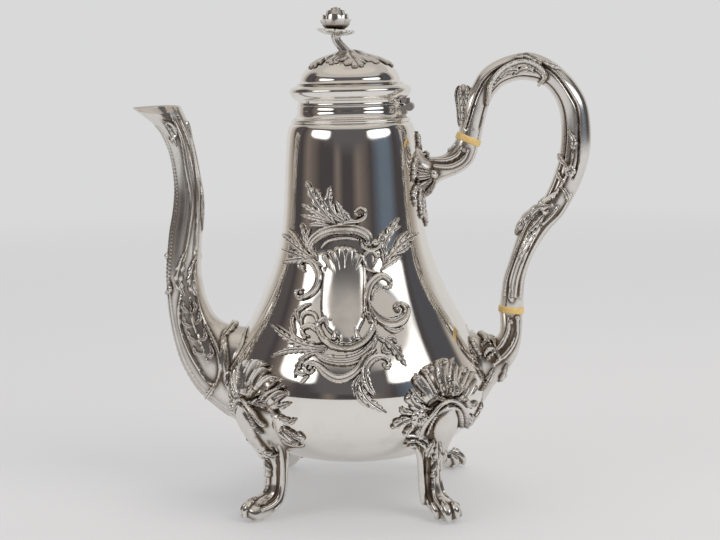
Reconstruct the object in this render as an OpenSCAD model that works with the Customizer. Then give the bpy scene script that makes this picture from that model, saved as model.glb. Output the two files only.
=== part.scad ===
// Footed coffee pot with a hinged lid, a curved spout and a scroll handle.
// Z is up. The origin is on the ground, under the middle of the belly. The spout
// points along -X, the handle along +X, and the front cartouche faces -Y.

/* [Body] */
// Radius of the belly at its widest
belly_r = 66.6; // [56:0.1:80]
// Height of the widest part of the belly
belly_z = 63.5; // [58:0.5:70]
// Radius of the waist, where the neck runs out into the belly
waist_r = 40.2; // [36:0.1:46]
// Height of the waist
waist_z = 124; // [110:0.5:140]
// Radius of the neck at its top
neck_r = 32.9; // [31:0.1:36]
// Height of the body's top edge
neck_z = 193; // [160:0.5:232]
// Height of the underside above the ground
underside_z = 24.5; // [20:0.5:28]
// Radius of the flat underside
underside_r = 20; // [12:0.5:30]
// Thickness of the body's sheet
wall = 1.2; // [0.8:0.1:2]

/* [Mouth] */
// Inner radius of the mouth
mouth_r = 25; // [20:0.1:25.5]
// Thickness of the collar that stands round the mouth
collar_wall = 2; // [1.5:0.1:2.5]
// Height of the collar
collar_h = 9; // [7:0.1:12]
// Depth of the collar's spigot inside the body
spigot_h = 3; // [2:0.1:5]
// Radius of the round bead at the collar's foot
bead_r = 1.1; // [0.8:0.05:1.4]
// Film of solder between pieces that are soldered together
solder_gap = 0.05; // [0.02:0.01:0.1]

/* [Lid] */
// Thickness of the lid's sheet
lid_wall = 1.2; // [0.8:0.1:1.5]
// How far the lid's round moulding stands out past the collar
lid_bulge = 3.8; // [2.5:0.1:4.5]
// Height of the lid's moulding and step, below the dome
lid_band_h = 11.6; // [10:0.1:13]
// Height of the dome
dome_h = 12.8; // [9:0.1:16]
// Gap under the closed lid
lid_gap = 0.2; // [0.1:0.05:0.4]
// Gap between the lid's bezel and the mouth
bezel_gap = 0.5; // [0.3:0.05:0.8]
// How far the bezel reaches down into the mouth
bezel_drop = 3.4; // [2:0.1:4]

/* [Hinge] */
// Distance of the hinge pin from the collar's outside
hinge_reach = 3; // [2.8:0.1:4]
// Height of the hinge pin below the collar's rim
hinge_drop = 1.6; // [1.2:0.1:2.2]
// Radius of the knuckles
knuckle_r = 2.1; // [1.8:0.05:2.3]
// Radius of the hinge pin
hinge_pin_r = 0.9; // [0.6:0.05:1.2]
// Clearance round the hinge pin
hinge_fit = 0.05; // [0.02:0.01:0.1]
// Width of the whole hinge
hinge_w = 16; // [12:0.5:20]
// Width of the lid's middle knuckle
lid_knuckle_w = 5.6; // [4:0.1:7]
// End gap between two knuckles
knuckle_gap = 0.3; // [0.15:0.05:0.5]

/* [Finial] */
// How far the flower's stem leans towards the spout
finial_lean = 6.5; // [0:0.1:8]
// Radius of the leafy mount on top of the dome
mount_r = 19.5; // [14:0.1:21]
// Thickness of the mount at its middle
mount_h = 3.2; // [2:0.1:5]
// Height of the bent stem
stem_h = 6.7; // [5:0.1:10]
// Radius of the leafy saucer under the flower
calyx_r = 9.6; // [7:0.1:12]
// Radius of the flower
flower_r = 7.8; // [6:0.1:9]
// Height of the flower
flower_h = 11.6; // [9:0.1:14]
// Radius of the threaded stud that holds the finial
stud_r = 1.25; // [1:0.05:1.5]
// Clearance round the stud
stud_fit = 0.1; // [0.05:0.01:0.2]

/* [Spout] */
// How far the spout's tip stands out past the belly
spout_reach = 45.4; // [40:0.1:52]
// Height of the spout's tip above the body's top edge
spout_rise = 9.3; // [4:0.1:14]
// Thickness of the spout's casting
spout_wall = 1.3; // [1:0.1:1.8]
// Radius of the small holes that strain the coffee
strainer_hole_r = 1.6; // [1:0.1:2]
// Distance between those holes
strainer_pitch = 6; // [5:0.1:7]

/* [Handle] */
// How far the grip stands out past the belly
grip_reach = 53.6; // [48:0.1:60]
// Half the grip's width
grip_half_w = 6.2; // [5:0.1:7.5]
// Radius of the insulating rings
ring_r = 6.6; // [6:0.1:7.2]
// Thickness of the insulating rings
ring_h = 3.4; // [2.5:0.1:4.5]
// Radius of the rings' tenons
tenon_r = 3.4; // [2.5:0.1:4.2]
// Length of each tenon
tenon_l = 7.6; // [6.5:0.1:9]
// Clearance round each tenon
tenon_fit = 0.05; // [0.03:0.01:0.15]
// Radius of the cross pins
cross_pin_r = 1; // [0.7:0.05:1.2]
// Distance of each cross pin from the middle of its ring
cross_pin_step = 5.6; // [4.5:0.1:6.5]
// Clearance round the cross pins
pin_fit = 0.03; // [0.02:0.01:0.08]

/* [Feet] */
// Radius of the circle that the foot pads stand on
foot_circle_r = 66.8; // [60:0.1:78]
// Radius of each foot pad
foot_pad_r = 3.2; // [2.5:0.1:4]
// Half the width of a leg at its ankle
ankle_half_w = 6.2; // [5:0.1:7.5]
// Half the width of a leg at its knee
knee_half_w = 12; // [10:0.1:14]

/* [Ornament] */
// How far the cast ornament stands proud of the body
relief = 2.2; // [1.4:0.1:3]

/* [Hidden] */
$fn = 96;
// A cut that must pass right through runs this much further
through = 1;
// Colours of the two metals' finishes and of the insulators
silver = "gainsboro";
worn_silver = "silver";
ivory = "moccasin";

// Radii and heights that several pieces share
collar_r = mouth_r + collar_wall;
spigot_r = mouth_r + 1;
rim_z = neck_z + collar_h;
lid_z = rim_z + lid_gap;
dome_z = lid_z + lid_band_h;
dome_r = collar_r - 1.8;
dome_top_z = dome_z + dome_h;
hinge_x = collar_r + hinge_reach;
hinge_z = rim_z - hinge_drop;
// The shoulder's height, and the radius where it meets the collar's bead
shoulder_h = 9;
shoulder_r = neck_r - 2.7;
// The height that the soldered castings are drawn from, and how far it lies
// below the widest part of the belly
pattern_drop = 6.5;
pattern_z = belly_z - pattern_drop;
// Radius of the hollow moulding over the bead
cove_r = 1.6;

// ---- curves ----

function bezier(a, b, c, d, steps) = [
    for (i = [0:steps])
        let (t = i / steps, s = 1 - t)
        s * s * s * a + 3 * s * s * t * b + 3 * s * t * t * c + t * t * t * d
];

// One point of the smooth curve that runs from b to c
function between(a, b, c, d, t) =
    0.5 * (2 * b + (c - a) * t + (2 * a - 5 * b + 4 * c - d) * t * t
    + (3 * b - a - 3 * c + d) * t * t * t);

// A smooth curve through rows of numbers, with some steps in each span
function smooth(rows, steps) = [
    for (i = [0:len(rows) - 2])
        let (
            a = rows[max(i - 1, 0)],
            b = rows[i],
            c = rows[i + 1],
            d = rows[min(i + 2, len(rows) - 1)]
        )
        for (k = [0:steps - 1]) between(a, b, c, d, k / steps),
    rows[len(rows) - 1]
];

function arc(centre, r, from, to, steps) = [
    for (i = [0:steps])
        let (angle = from + (to - from) * i / steps)
        centre + r * [cos(angle), sin(angle)]
];

function backwards(list) = [for (i = [len(list) - 1:-1:0]) list[i]];

function turned_left(v) = [-v[1], v[0]] / norm(v);

// The same open line, moved a distance to its left
function shifted(line, distance) = [
    for (i = [0:len(line) - 1])
        line[i] + distance * turned_left(
            line[min(i + 1, len(line) - 1)] - line[max(i - 1, 0)]
        )
];

// ---- the body's outline, from the underside up to the shoulder ----

neck_span = neck_z - shoulder_h - waist_z;
// Slope of the outline at the waist, outwards per step down
waist_flare = 0.347;
body_line = concat(
    bezier(
        [underside_r, underside_z], [belly_r * 0.75, underside_z],
        [belly_r, belly_z - 23], [belly_r, belly_z], 9
    ),
    [for (p = bezier(
        [belly_r, belly_z], [belly_r, belly_z + 12],
        [waist_r + waist_flare * 25, waist_z - 25], [waist_r, waist_z], 9
    )) if (p[1] > belly_z) p],
    [for (p = bezier(
        [waist_r, waist_z],
        [waist_r - waist_flare * neck_span * 0.29, waist_z + neck_span * 0.29],
        [neck_r + 2.2, neck_z - shoulder_h - neck_span / 3],
        [neck_r, neck_z - shoulder_h], 7
    )) if (p[1] > waist_z) p],
    [for (p = bezier(
        [neck_r, neck_z - shoulder_h], [neck_r - 0.5, neck_z - shoulder_h / 2],
        [neck_r - 1.2, neck_z - 0.4], [shoulder_r, neck_z], 5
    )) if (p[1] > neck_z - shoulder_h) p]
);

// The solid of revolution that the body fills, grown by some distance
module body_solid(grown = 0) {
    line = shifted(body_line, -grown);
    rotate_extrude()
        polygon(concat([[0, underside_z - grown]], line, [[0, neck_z + grown]]));
}

// A skin round the body, on which cast ornament is soldered
module body_skin(thickness) {
    inside = shifted(body_line, -solder_gap);
    outside = shifted(body_line, -thickness);
    rotate_extrude()
        polygon(concat(inside, backwards(outside)));
}

module body_shell() {
    inner_line = shifted(body_line, wall);
    opening_r = spigot_r + solder_gap;
    color(silver)
    difference() {
        rotate_extrude()
            polygon(concat(
                [[0, underside_z]], body_line,
                [[opening_r, neck_z], [opening_r, neck_z - wall]],
                backwards(inner_line), [[0, underside_z + wall]]
            ));
        strainer_holes();
    }
}

// Two rings of holes round a middle one, through the wall behind the spout
module strainer_holes() {
    for (ring = [0:2])
        for (i = [0:max(ring * 6 - 1, 0)])
            rotate([0, -90, 0])
            translate([
                pattern_z + 11 + ring * strainer_pitch * cos(i * 60 / max(ring, 1)),
                ring * strainer_pitch * sin(i * 60 / max(ring, 1)),
                waist_r
            ])
                cylinder(r = strainer_hole_r, h = belly_r, $fn = 24);
}

module neck_collar() {
    bead_x = shoulder_r - bead_r;
    color(silver)
    rotate_extrude()
        polygon(concat(
            [
                [mouth_r, neck_z - spigot_h], [spigot_r, neck_z - spigot_h],
                [spigot_r, neck_z]
            ],
            arc([bead_x, neck_z + bead_r], bead_r, -90, 90, 8),
            backwards(arc(
                [collar_r + cove_r, neck_z + 2 * bead_r + cove_r], cove_r, 180, 260, 5
            )),
            [[collar_r, rim_z - 0.3], [collar_r - 0.3, rim_z], [mouth_r, rim_z]]
        ));
}

// ---- lid ----

// The dome's outline, from its foot to its top
function dome_line(inset, steps) = bezier(
    [dome_r - inset, dome_z], [dome_r - 0.6 - inset, dome_z + dome_h * 0.6],
    [dome_r * 0.55, dome_top_z - inset], [0, dome_top_z - inset], steps
);

module lid_shell() {
    step_r = collar_r + 0.7;
    bulge = collar_r + lid_bulge * 1.36;
    color(silver)
    difference() {
        rotate_extrude()
            polygon(concat(
                [[collar_r, lid_z], [collar_r - 0.3, lid_z + 1.3]],
                bezier(
                    [collar_r, lid_z + 2.6], [bulge, lid_z + 2.8],
                    [bulge, lid_z + 8.6], [step_r, lid_z + lid_band_h - 2.2], 10
                ),
                [
                    [step_r - 0.8, dome_z - 1.8], [step_r - 0.8, dome_z - 0.9],
                    [dome_r + 0.4, dome_z - 0.5]
                ],
                dome_line(0, 10),
                backwards(dome_line(lid_wall, 10)),
                backwards(bezier(
                    [collar_r - lid_wall, lid_z + 3.4],
                    [bulge - lid_wall * 1.2, lid_z + 3.6],
                    [bulge - lid_wall * 1.2, lid_z + 7.8],
                    [dome_r - lid_wall, lid_z + lid_band_h - 2], 8
                )),
                [[collar_r - lid_wall, lid_z]]
            ));
        translate([0, 0, dome_z])
            cylinder(r = stud_r + stud_fit, h = dome_h + through, $fn = 32);
    }
}

module lid_bezel() {
    outside = mouth_r - bezel_gap;
    inside = outside - 0.9;
    flange_r = collar_r - lid_wall - solder_gap;
    color(silver)
    rotate_extrude()
        polygon([
            [inside, lid_z - bezel_drop], [outside, lid_z - bezel_drop],
            [outside, lid_z + 0.9], [flange_r, lid_z + 0.9],
            [flange_r, lid_z + 2.1], [inside, lid_z + 2.1]
        ]);
}

// ---- hinge ----

module along_y(width) {
    rotate([90, 0, 0])
        linear_extrude(width, center = true)
            children();
}

module knuckle(width) {
    rotate([90, 0, 0])
    difference() {
        cylinder(r = knuckle_r, h = width, center = true, $fn = 48);
        cylinder(r = hinge_pin_r + hinge_fit, h = width + through, center = true, $fn = 48);
    }
}

// A plate that is hollowed to sit against the collar
module collar_plate(low, high, width) {
    plate_t = 1.5;
    difference() {
        translate([0, -width / 2, low])
            cube([collar_r + plate_t, width, high - low]);
        translate([0, 0, low - through])
            cylinder(r = collar_r + solder_gap, h = high - low + 2 * through);
    }
}

module hinge_body_leaf() {
    outer_w = (hinge_w - lid_knuckle_w) / 2 - knuckle_gap;
    swing_r = knuckle_r + knuckle_gap;
    color(worn_silver) {
        difference() {
            collar_plate(neck_z + 2 * bead_r + cove_r, hinge_z + 0.6, hinge_w);
            translate([hinge_x, 0, hinge_z])
            rotate([90, 0, 0])
                cylinder(
                    r = swing_r, h = lid_knuckle_w + 2 * knuckle_gap, center = true, $fn = 48
                );
            translate([hinge_x, 0, hinge_z])
            rotate([90, 0, 0])
                cylinder(r = hinge_pin_r + hinge_fit, h = hinge_w + through, center = true, $fn = 48);
        }
        for (side = [-1, 1])
            translate([hinge_x, side * (hinge_w - outer_w) / 2, hinge_z])
                knuckle(outer_w);
    }
}

module hinge_pin() {
    color(worn_silver)
    translate([hinge_x, 0, hinge_z])
    rotate([90, 0, 0])
        cylinder(r = hinge_pin_r, h = hinge_w + 0.6, center = true, $fn = 48);
}

module hinge_lid_leaf() {
    wing_top = lid_z + 2.6;
    color(worn_silver) {
        difference() {
            union() {
                collar_plate(lid_z + 0.1, wing_top, hinge_w);
                translate([collar_r + 0.3, -lid_knuckle_w / 2, hinge_z + 1.2])
                    cube([hinge_reach - 0.3, lid_knuckle_w, wing_top - hinge_z - 1.2]);
            }
            translate([hinge_x, 0, hinge_z])
            rotate([90, 0, 0])
                cylinder(r = hinge_pin_r + hinge_fit, h = hinge_w + through, center = true, $fn = 48);
        }
        translate([hinge_x, 0, hinge_z])
            knuckle(lid_knuckle_w);
    }
}

// ---- lofted castings ----

// A loft through stations of [outer x, outer z, inner x, inner z, half width].
// Each station is an ellipse whose long or short axis joins the two points.
module loft(stations, sides) {
    rings = [
        for (s = stations)
            let (middle = [s[0] + s[2], s[1] + s[3]] / 2, arm = [s[0] - s[2], s[1] - s[3]] / 2)
            for (j = [0:sides - 1])
                let (angle = 360 * j / sides)
                [
                    middle[0] + arm[0] * cos(angle),
                    s[4] * sin(angle),
                    middle[1] + arm[1] * cos(angle)
                ]
    ];
    last = len(stations) - 1;
    faces = concat(
        [[for (j = [sides - 1:-1:0]) j]],
        [
            for (i = [0:last - 1])
                for (j = [0:sides - 1])
                    let (
                        a = i * sides + j,
                        b = i * sides + (j + 1) % sides
                    )
                    each [[a, b + sides, a + sides], [a, b, b + sides]]
        ],
        [[for (j = [0:sides - 1]) last * sides + j]]
    );
    polyhedron(rings, faces);
}

// ---- spout ----

// Heights on the spout are drawn for a tip this high above pattern_z
spout_pattern_h = 145.3;
spout_stretch = (neck_z + spout_rise - pattern_z) / spout_pattern_h;
// Stations of [front reach, front height, rear reach, rear height, half width]:
// reaches are measured out from the belly, heights up from pattern_z
spout_pattern = [
    [-18, -21, -18, 31, 14.6],
    [-3.6, -18, -6.6, 32, 14.8],
    [8.4, -9.5, 0.4, 33.5, 14],
    [17, -1, 4, 35.5, 12.8],
    [24, 11.5, 7, 38.5, 11.6],
    [28, 25, 9.4, 43, 10.6],
    [30, 38, 11.4, 49, 9.8],
    [30.8, 50, 12.7, 57, 9.2],
    [30.8, 61, 13, 64, 8.8],
    [28.6, 80, 12, 80, 8.2],
    [26, 93, 10.8, 93, 7.6],
    [24.8, 105, 11, 103, 7.2],
    [26, 118.6, 12.8, 115, 7],
    [29.2, 129, 14.7, 126, 7.4],
    [34.6, 137, 16.9, 137, 8.2],
    [spout_reach + 0.7, 145.9, 21, 147, 9]
];

// The spout's stations, with its wall taken off when inset is above zero
function spout_stations(inset) = [
    for (s = spout_pattern)
        let (
            front = [-belly_r - s[0], pattern_z + s[1] * spout_stretch],
            rear = [-belly_r - s[2], pattern_z + s[3] * spout_stretch],
            across = (front - rear) / norm(front - rear)
        )
        [
            front[0] - inset * across[0], front[1] - inset * across[1],
            rear[0] + inset * across[0], rear[1] + inset * across[1],
            s[4] - inset
        ]
];

module spout() {
    lip_cut_r = 35;
    tip = [-belly_r - spout_reach, neck_z + spout_rise];
    color(silver)
    difference() {
        loft(smooth(spout_stations(0), 2), 28);
        loft(smooth(spout_stations(spout_wall), 2), 28);
        body_solid(solder_gap);
        translate([tip[0] + 15.6, 0, tip[1] + lip_cut_r - 3.9])
            along_y(60)
                circle(r = lip_cut_r);
    }
}

// ---- handle ----

// The rings' tilts, and their middles measured from the belly and the neck
upper_ring_tilt = 23.4;
lower_ring_tilt = 6.2;
upper_ring = [belly_r - 7.5, neck_z - 9.6];
lower_ring = [belly_r + 13.3, pattern_z + 39.5];

// The grip is drawn for rings this far apart, and for this reach
grip_pattern_h = 86.9;
grip_pattern_reach = 53.6;
grip_stretch = (upper_ring[1] - lower_ring[1]) / grip_pattern_h;
grip_widen = grip_reach / grip_pattern_reach;
// Stations of [outer reach, outer height, inner reach, inner height, share of
// the grip's width]: reaches from the belly, heights from the lower ring
grip_pattern = [
    [-11.2, 96.7, 0.2, 93.1, 0.95],
    [-10.4, 101.6, 1.8, 99.3, 0.97],
    [-8.4, 108.3, 3.5, 104.8, 0.98],
    [-5.2, 114, 6.1, 109.2, 1],
    [-1.3, 120.3, 10.1, 113.1, 1],
    [4.9, 124.9, 14.6, 115, 1.02],
    [13.7, 128.3, 19.6, 115.9, 1.02],
    [22.9, 129.5, 24.5, 115.2, 1.02],
    [30.9, 127.1, 28.5, 113.9, 1.03],
    [38.4, 122.3, 32.4, 111.1, 1.05],
    [45.6, 115, 35.9, 106.1, 1.05],
    [51.2, 105.3, 37.9, 100.6, 1.05],
    [53.4, 94.5, 38.8, 93.5, 1.05],
    [53.6, 82.8, 38.7, 85.5, 1.05],
    [51.7, 73, 37.6, 76.5, 1.05],
    [49, 65, 35.4, 69, 1.03],
    [45.2, 57, 32.2, 61, 1.03],
    [39.9, 48, 27.2, 52.5, 1.02],
    [33.4, 41, 19.9, 45.5, 1],
    [28.1, 33.7, 16.1, 36.5, 0.98],
    [23.4, 25, 12.7, 26.3, 0.97],
    [20.4, 14.5, 9.2, 15.5, 0.95]
];

// A flat station across a ring's axis, at some distance along it
function ring_station(centre, tilt, along) = let (
    axis = [sin(tilt), cos(tilt)],
    across = [-cos(tilt), sin(tilt)],
    middle = centre + along * axis,
    half_depth = ring_r - 0.6
) [
    middle[0] + half_depth * across[0], middle[1] + half_depth * across[1],
    middle[0] - half_depth * across[0], middle[1] - half_depth * across[1],
    ring_r - 0.8
];

function swapped(s) = [s[2], s[3], s[0], s[1], s[4]];

ring_seat = ring_h / 2 + solder_gap;
grip_stations = concat(
    [ring_station(upper_ring, upper_ring_tilt, ring_seat)],
    [
        for (s = grip_pattern) [
            belly_r + s[0] * grip_widen, lower_ring[1] + s[1] * grip_stretch,
            belly_r + s[2] * grip_widen, lower_ring[1] + s[3] * grip_stretch,
            s[4] * grip_half_w
        ]
    ],
    [swapped(ring_station(lower_ring, lower_ring_tilt, ring_seat))]
);

// The places of both rings, for what is drilled or fitted on their axes
module at_ring(centre, tilt) {
    translate([centre[0], 0, centre[1]])
    rotate([0, tilt, 0])
        children();
}

// The bore for a ring's tenon and its cross pin, above (1) or below (-1) it
module tenon_bore(side) {
    depth = tenon_l + 0.6;
    scale([1, 1, side])
        cylinder(r = tenon_r + tenon_fit, h = ring_h / 2 + depth, $fn = 48);
    cross_pin_hole(side);
}

module cross_pin_hole(side) {
    translate([0, 0, side * cross_pin_step])
    rotate([90, 0, 0])
        cylinder(r = cross_pin_r + pin_fit, h = 4 * ring_r, center = true, $fn = 32);
}

module handle_grip() {
    color(silver)
    difference() {
        loft(smooth(grip_stations, 2), 16);
        at_ring(upper_ring, upper_ring_tilt)
            tenon_bore(1);
        at_ring(lower_ring, lower_ring_tilt)
            tenon_bore(1);
    }
}

// Stations from the upper ring down to the neck, then inside it: the outer
// points run along the elbow's underside and the inner ones along its top
neck_line_r = neck_r + 1.6;
upper_socket_stations = concat(
    [swapped(ring_station(upper_ring, upper_ring_tilt, -ring_seat))],
    [
        for (s = [
            [4, -7.6, -8.6, -4.2, 5.8],
            [1.2, -12.8, -12.6, -7.4, 5.9],
            [-4.6, -17, -17.6, -8.4, 6.3]
        ])
            [
                upper_ring[0] + s[0], upper_ring[1] + s[1],
                upper_ring[0] + s[2], upper_ring[1] + s[3], s[4]
            ]
    ],
    [
        [neck_line_r + 10.6, neck_z - 30.5, neck_line_r + 3, neck_z - 17, 7.2],
        [neck_line_r + 3.4, neck_z - 36, neck_line_r - 0.6, neck_z - 12.5, 8.8],
        [neck_line_r - 6, neck_z - 38, neck_line_r - 6, neck_z - 11, 9.6]
    ]
);

lower_socket_stations = concat(
    [swapped(ring_station(lower_ring, lower_ring_tilt, -ring_seat))],
    [
        for (s = [
            [18.9, 30, 7.6, 32, 5.8],
            [18, 22, 7, 27.4, 6.1],
            [16, 15.2, 4.6, 25, 6.8],
            [11.4, 8, 0.6, 24.5, 7.8],
            [4.4, 0, -4, 27, 9.2],
            [-3.6, -11, -9, 29, 10.4],
            [-14.6, -11, -14.6, 29, 11]
        ])
            [belly_r + s[0], pattern_z + s[1], belly_r + s[2], pattern_z + s[3], s[4]]
    ]
);

// A leaf-shaped plate soldered on the body, drawn as [across, height] points
// on one side of its middle line, and seen along -X
module leaf_plate(half_outline, thickness) {
    outline = concat(half_outline, [for (p = backwards(half_outline)) [-p[0], p[1]]]);
    intersection() {
        body_skin(thickness);
        rotate([90, 0, 90])
            linear_extrude(belly_r + 2 * relief)
                polygon(outline);
    }
}

module handle_upper_socket() {
    half_leaf = [
        [0, neck_z - 5.5], [3, neck_z - 11], [6.5, neck_z - 12], [9, neck_z - 17],
        [13, neck_z - 20], [15.4, neck_z - 26], [12, neck_z - 33], [9, neck_z - 37],
        [6, neck_z - 45], [2.6, neck_z - 50], [0, neck_z - 54]
    ];
    color(silver)
    difference() {
        union() {
            loft(smooth(upper_socket_stations, 2), 16);
            leaf_plate(half_leaf, relief * 0.8);
        }
        body_solid(solder_gap);
        at_ring(upper_ring, upper_ring_tilt)
            tenon_bore(-1);
    }
}

module handle_lower_socket() {
    half_leaf = [
        [0, pattern_z + 31], [3.5, pattern_z + 25], [8, pattern_z + 23], [13, pattern_z + 15],
        [14.5, pattern_z + 6], [11, pattern_z - 3], [6, pattern_z - 9], [0, pattern_z - 15]
    ];
    color(silver)
    difference() {
        union() {
            loft(smooth(lower_socket_stations, 2), 16);
            leaf_plate(half_leaf, relief * 0.8);
        }
        body_solid(solder_gap);
        at_ring(lower_ring, lower_ring_tilt)
            tenon_bore(-1);
    }
}

// A ring with a tenon on each side
module insulator(centre, tilt) {
    edge = 0.5;
    color(ivory)
    at_ring(centre, tilt)
    difference() {
        rotate_extrude()
            polygon([
                [0, -ring_h / 2 - tenon_l], [tenon_r - edge, -ring_h / 2 - tenon_l],
                [tenon_r, -ring_h / 2 - tenon_l + edge], [tenon_r, -ring_h / 2],
                [ring_r - edge, -ring_h / 2], [ring_r, -ring_h / 2 + edge],
                [ring_r, ring_h / 2 - edge], [ring_r - edge, ring_h / 2],
                [tenon_r, ring_h / 2], [tenon_r, ring_h / 2 + tenon_l - edge],
                [tenon_r - edge, ring_h / 2 + tenon_l], [0, ring_h / 2 + tenon_l]
            ]);
        for (side = [-1, 1])
            cross_pin_hole(side);
    }
}

module insulator_upper() {
    insulator(upper_ring, upper_ring_tilt);
}

module insulator_lower() {
    insulator(lower_ring, lower_ring_tilt);
}

module handle_cross_pins() {
    for (ring = [[upper_ring, upper_ring_tilt], [lower_ring, lower_ring_tilt]])
        color(worn_silver)
        at_ring(ring[0], ring[1])
            for (side = [-1, 1])
                translate([0, 0, side * cross_pin_step])
                rotate([90, 0, 0])
                    cylinder(r = cross_pin_r, h = 2 * ring_r - 1.4, center = true, $fn = 32);
}

// ---- feet ----

// Heights on a foot are drawn for this height of pattern_z
foot_pattern_h = 57;
foot_stretch = pattern_z / foot_pattern_h;
// The last number's share for a leg's ankle; the knee's share is 1
ankle_share = 0.52;
// Stations of [outer reach, outer height, inner reach, inner height, share of
// the width]: reaches are measured out from the circle of the pads
foot_pattern = [
    [1.4, 66, -9, 64, 0.8],
    [3.6, 58, -9, 56, 1],
    [3.6, 50.5, -9, 47, 1],
    [0.6, 43, -15, 39, 0.86],
    [-4.4, 36, -19, 34.6, 0.68],
    [-8, 29, -18.4, 28.6, 0.56],
    [-9.2, 22.5, -17, 22, 0.52],
    [-9, 16, -16, 14.8, 0.51],
    [-6.6, 11.4, -13.8, 7.6, 0.51],
    [-1.8, 9.7, -9.4, 2.9, 0.52],
    [3, 9, -4.4, 0.7, 0.52],
    [6, 6.6, 0.4, 0.3, 0.46],
    [6.4, 3.4, 3, 0.8, 0.36]
];

module foot(turn) {
    pad_h = 1.4;
    stations = [
        for (s = foot_pattern)
            let (
                blend = (s[4] - ankle_share) / (1 - ankle_share),
                half_w = ankle_half_w + (knee_half_w - ankle_half_w) * blend
            )
            [
                foot_circle_r + s[0], s[1] * foot_stretch,
                foot_circle_r + s[2], s[3] * foot_stretch, half_w
            ]
    ];
    half_shell = [
        [0, 22], [5, 21], [9, 17.5], [14, 18.5], [17, 13], [21, 11], [24.5, 5.5],
        [23, 0.5], [26.5, -4.5], [22, -8.5], [17, -11], [10, -14], [0, -16]
    ];
    color(silver)
    rotate(turn)
    difference() {
        union() {
            loft(smooth(stations, 2), 14);
            leaf_plate([for (p = half_shell) [p[0], pattern_z + p[1]]], relief);
            translate([foot_circle_r, 0, 0])
                cylinder(r = foot_pad_r, h = pad_h, $fn = 32);
        }
        body_solid(solder_gap);
        translate([0, 0, -20])
            cylinder(r = 2 * foot_circle_r, h = 20);
    }
}

module foot_front_left() {
    foot(225);
}

module foot_front_right() {
    foot(315);
}

module foot_back_left() {
    foot(135);
}

module foot_back_right() {
    foot(45);
}

// ---- cartouches ----

// The relief's outline, as [across, height above pattern_z]
cartouche_outline = [
    [-20, 108.2], [-13, 96], [-8.2, 106.5], [-3, 96], [2, 92.5], [6.5, 94], [8.5, 91],
    [7, 87.5], [12, 84], [15, 80], [18, 84], [24.2, 89.2], [22, 81.5], [28, 83],
    [32, 80.6], [27, 74.5], [22, 69.5], [16.5, 65.5], [20.8, 60.6], [16, 58],
    [13.2, 55], [12.6, 49], [15, 45.5], [19, 44.5], [21.8, 49.5], [27, 50], [30.4, 44],
    [28.5, 38], [22, 34.5], [20, 33], [26, 27], [28.1, 21.8], [22, 24.5], [16.5, 27.2],
    [20.8, 24.5], [20.4, 21.5], [15, 21.5], [12, 17], [11.8, 11], [14.5, 7],
    [18.2, 1.8], [11, 5], [6, 10], [2.5, 13], [4, 18.5], [0, 16], [-7, 17.5],
    [-12, 21], [-17, 19.2], [-25, 17.5], [-24, 23], [-36.5, 25.6], [-27, 29.5],
    [-38.6, 38.4], [-31, 38], [-30, 44], [-26.5, 50], [-25.7, 53], [-18, 56],
    [-18, 62], [-24, 64.5], [-27, 69], [-33.8, 68], [-33, 73], [-34.6, 80],
    [-28, 81], [-22.6, 87.6], [-21, 83], [-19.5, 91], [-22, 98]
];
cartouche_pattern_h = 136;
cartouche_stretch = (neck_z - pattern_z) / cartouche_pattern_h;

module cartouche(turn) {
    outline = [for (p = cartouche_outline) [p[0], pattern_z + p[1] * cartouche_stretch]];
    color(worn_silver)
    rotate(turn)
    intersection() {
        body_skin(relief);
        rotate([90, 0, 0])
            linear_extrude(belly_r + 2 * relief)
                polygon(outline);
    }
}

module cartouche_front() {
    cartouche(0);
}

module cartouche_back() {
    cartouche(180);
}

// ---- finial ----

stem_z = dome_top_z + mount_h;
calyx_z = stem_z + stem_h;
flower_z = calyx_z + 2.4;

// A leafy edge with some number of lobes
module leafy_disc(r, lobes, depth) {
    steps = 8 * lobes;
    polygon([
        for (i = [0:steps - 1])
            let (angle = 360 * i / steps)
            (r - depth * (1 - abs(cos(angle * lobes / 2)))) * [cos(angle), sin(angle)]
    ]);
}

module finial_mount() {
    edge_h = 0.9;
    least_h = 0.6;
    boss_r = 2.6;
    under = [for (p = dome_line(-solder_gap, 10)) if (p[0] < mount_r + 2) p];
    start = under[0];
    upper = bezier(
        start + [0.2, edge_h], [mount_r * 0.7, dome_top_z - 0.2],
        [mount_r * 0.35, dome_top_z + 0.4], [0, dome_top_z + mount_h * 0.75], 8
    );
    color(worn_silver)
    difference() {
        union() {
            intersection() {
                rotate_extrude()
                    polygon(concat(
                        under,
                        [
                            for (p = backwards(upper))
                                [p[0], max(p[1], lookup(p[0], under) + least_h)]
                        ]
                    ));
                linear_extrude(2 * dome_top_z)
                    leafy_disc(mount_r, 10, 3);
            }
            translate([0, 0, dome_top_z + solder_gap])
                cylinder(r = boss_r, h = mount_h - solder_gap, $fn = 48);
            translate([0, 0, dome_top_z - 7])
                cylinder(r = stud_r, h = 8, $fn = 32);
        }
        translate([-2 * mount_r, -2 * mount_r, stem_z])
            cube([4 * mount_r, 4 * mount_r, mount_h]);
    }
}

module finial_stem() {
    thick = 2.2;
    stations = [
        [-thick, stem_z + solder_gap, thick, stem_z + solder_gap, thick],
        [
            -thick - finial_lean * 0.42, stem_z + stem_h * 0.28,
            thick * 0.5 - finial_lean * 0.2, stem_z + stem_h * 0.5, thick * 0.85
        ],
        [
            -thick - finial_lean * 0.9, stem_z + stem_h * 0.72,
            thick * 0.85 - finial_lean * 0.85, stem_z + stem_h * 0.78, thick * 0.9
        ],
        [
            -thick - finial_lean, calyx_z - solder_gap,
            thick - finial_lean, calyx_z - solder_gap, thick
        ]
    ];
    color(worn_silver)
        loft(smooth(stations, 4), 16);
}

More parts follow.
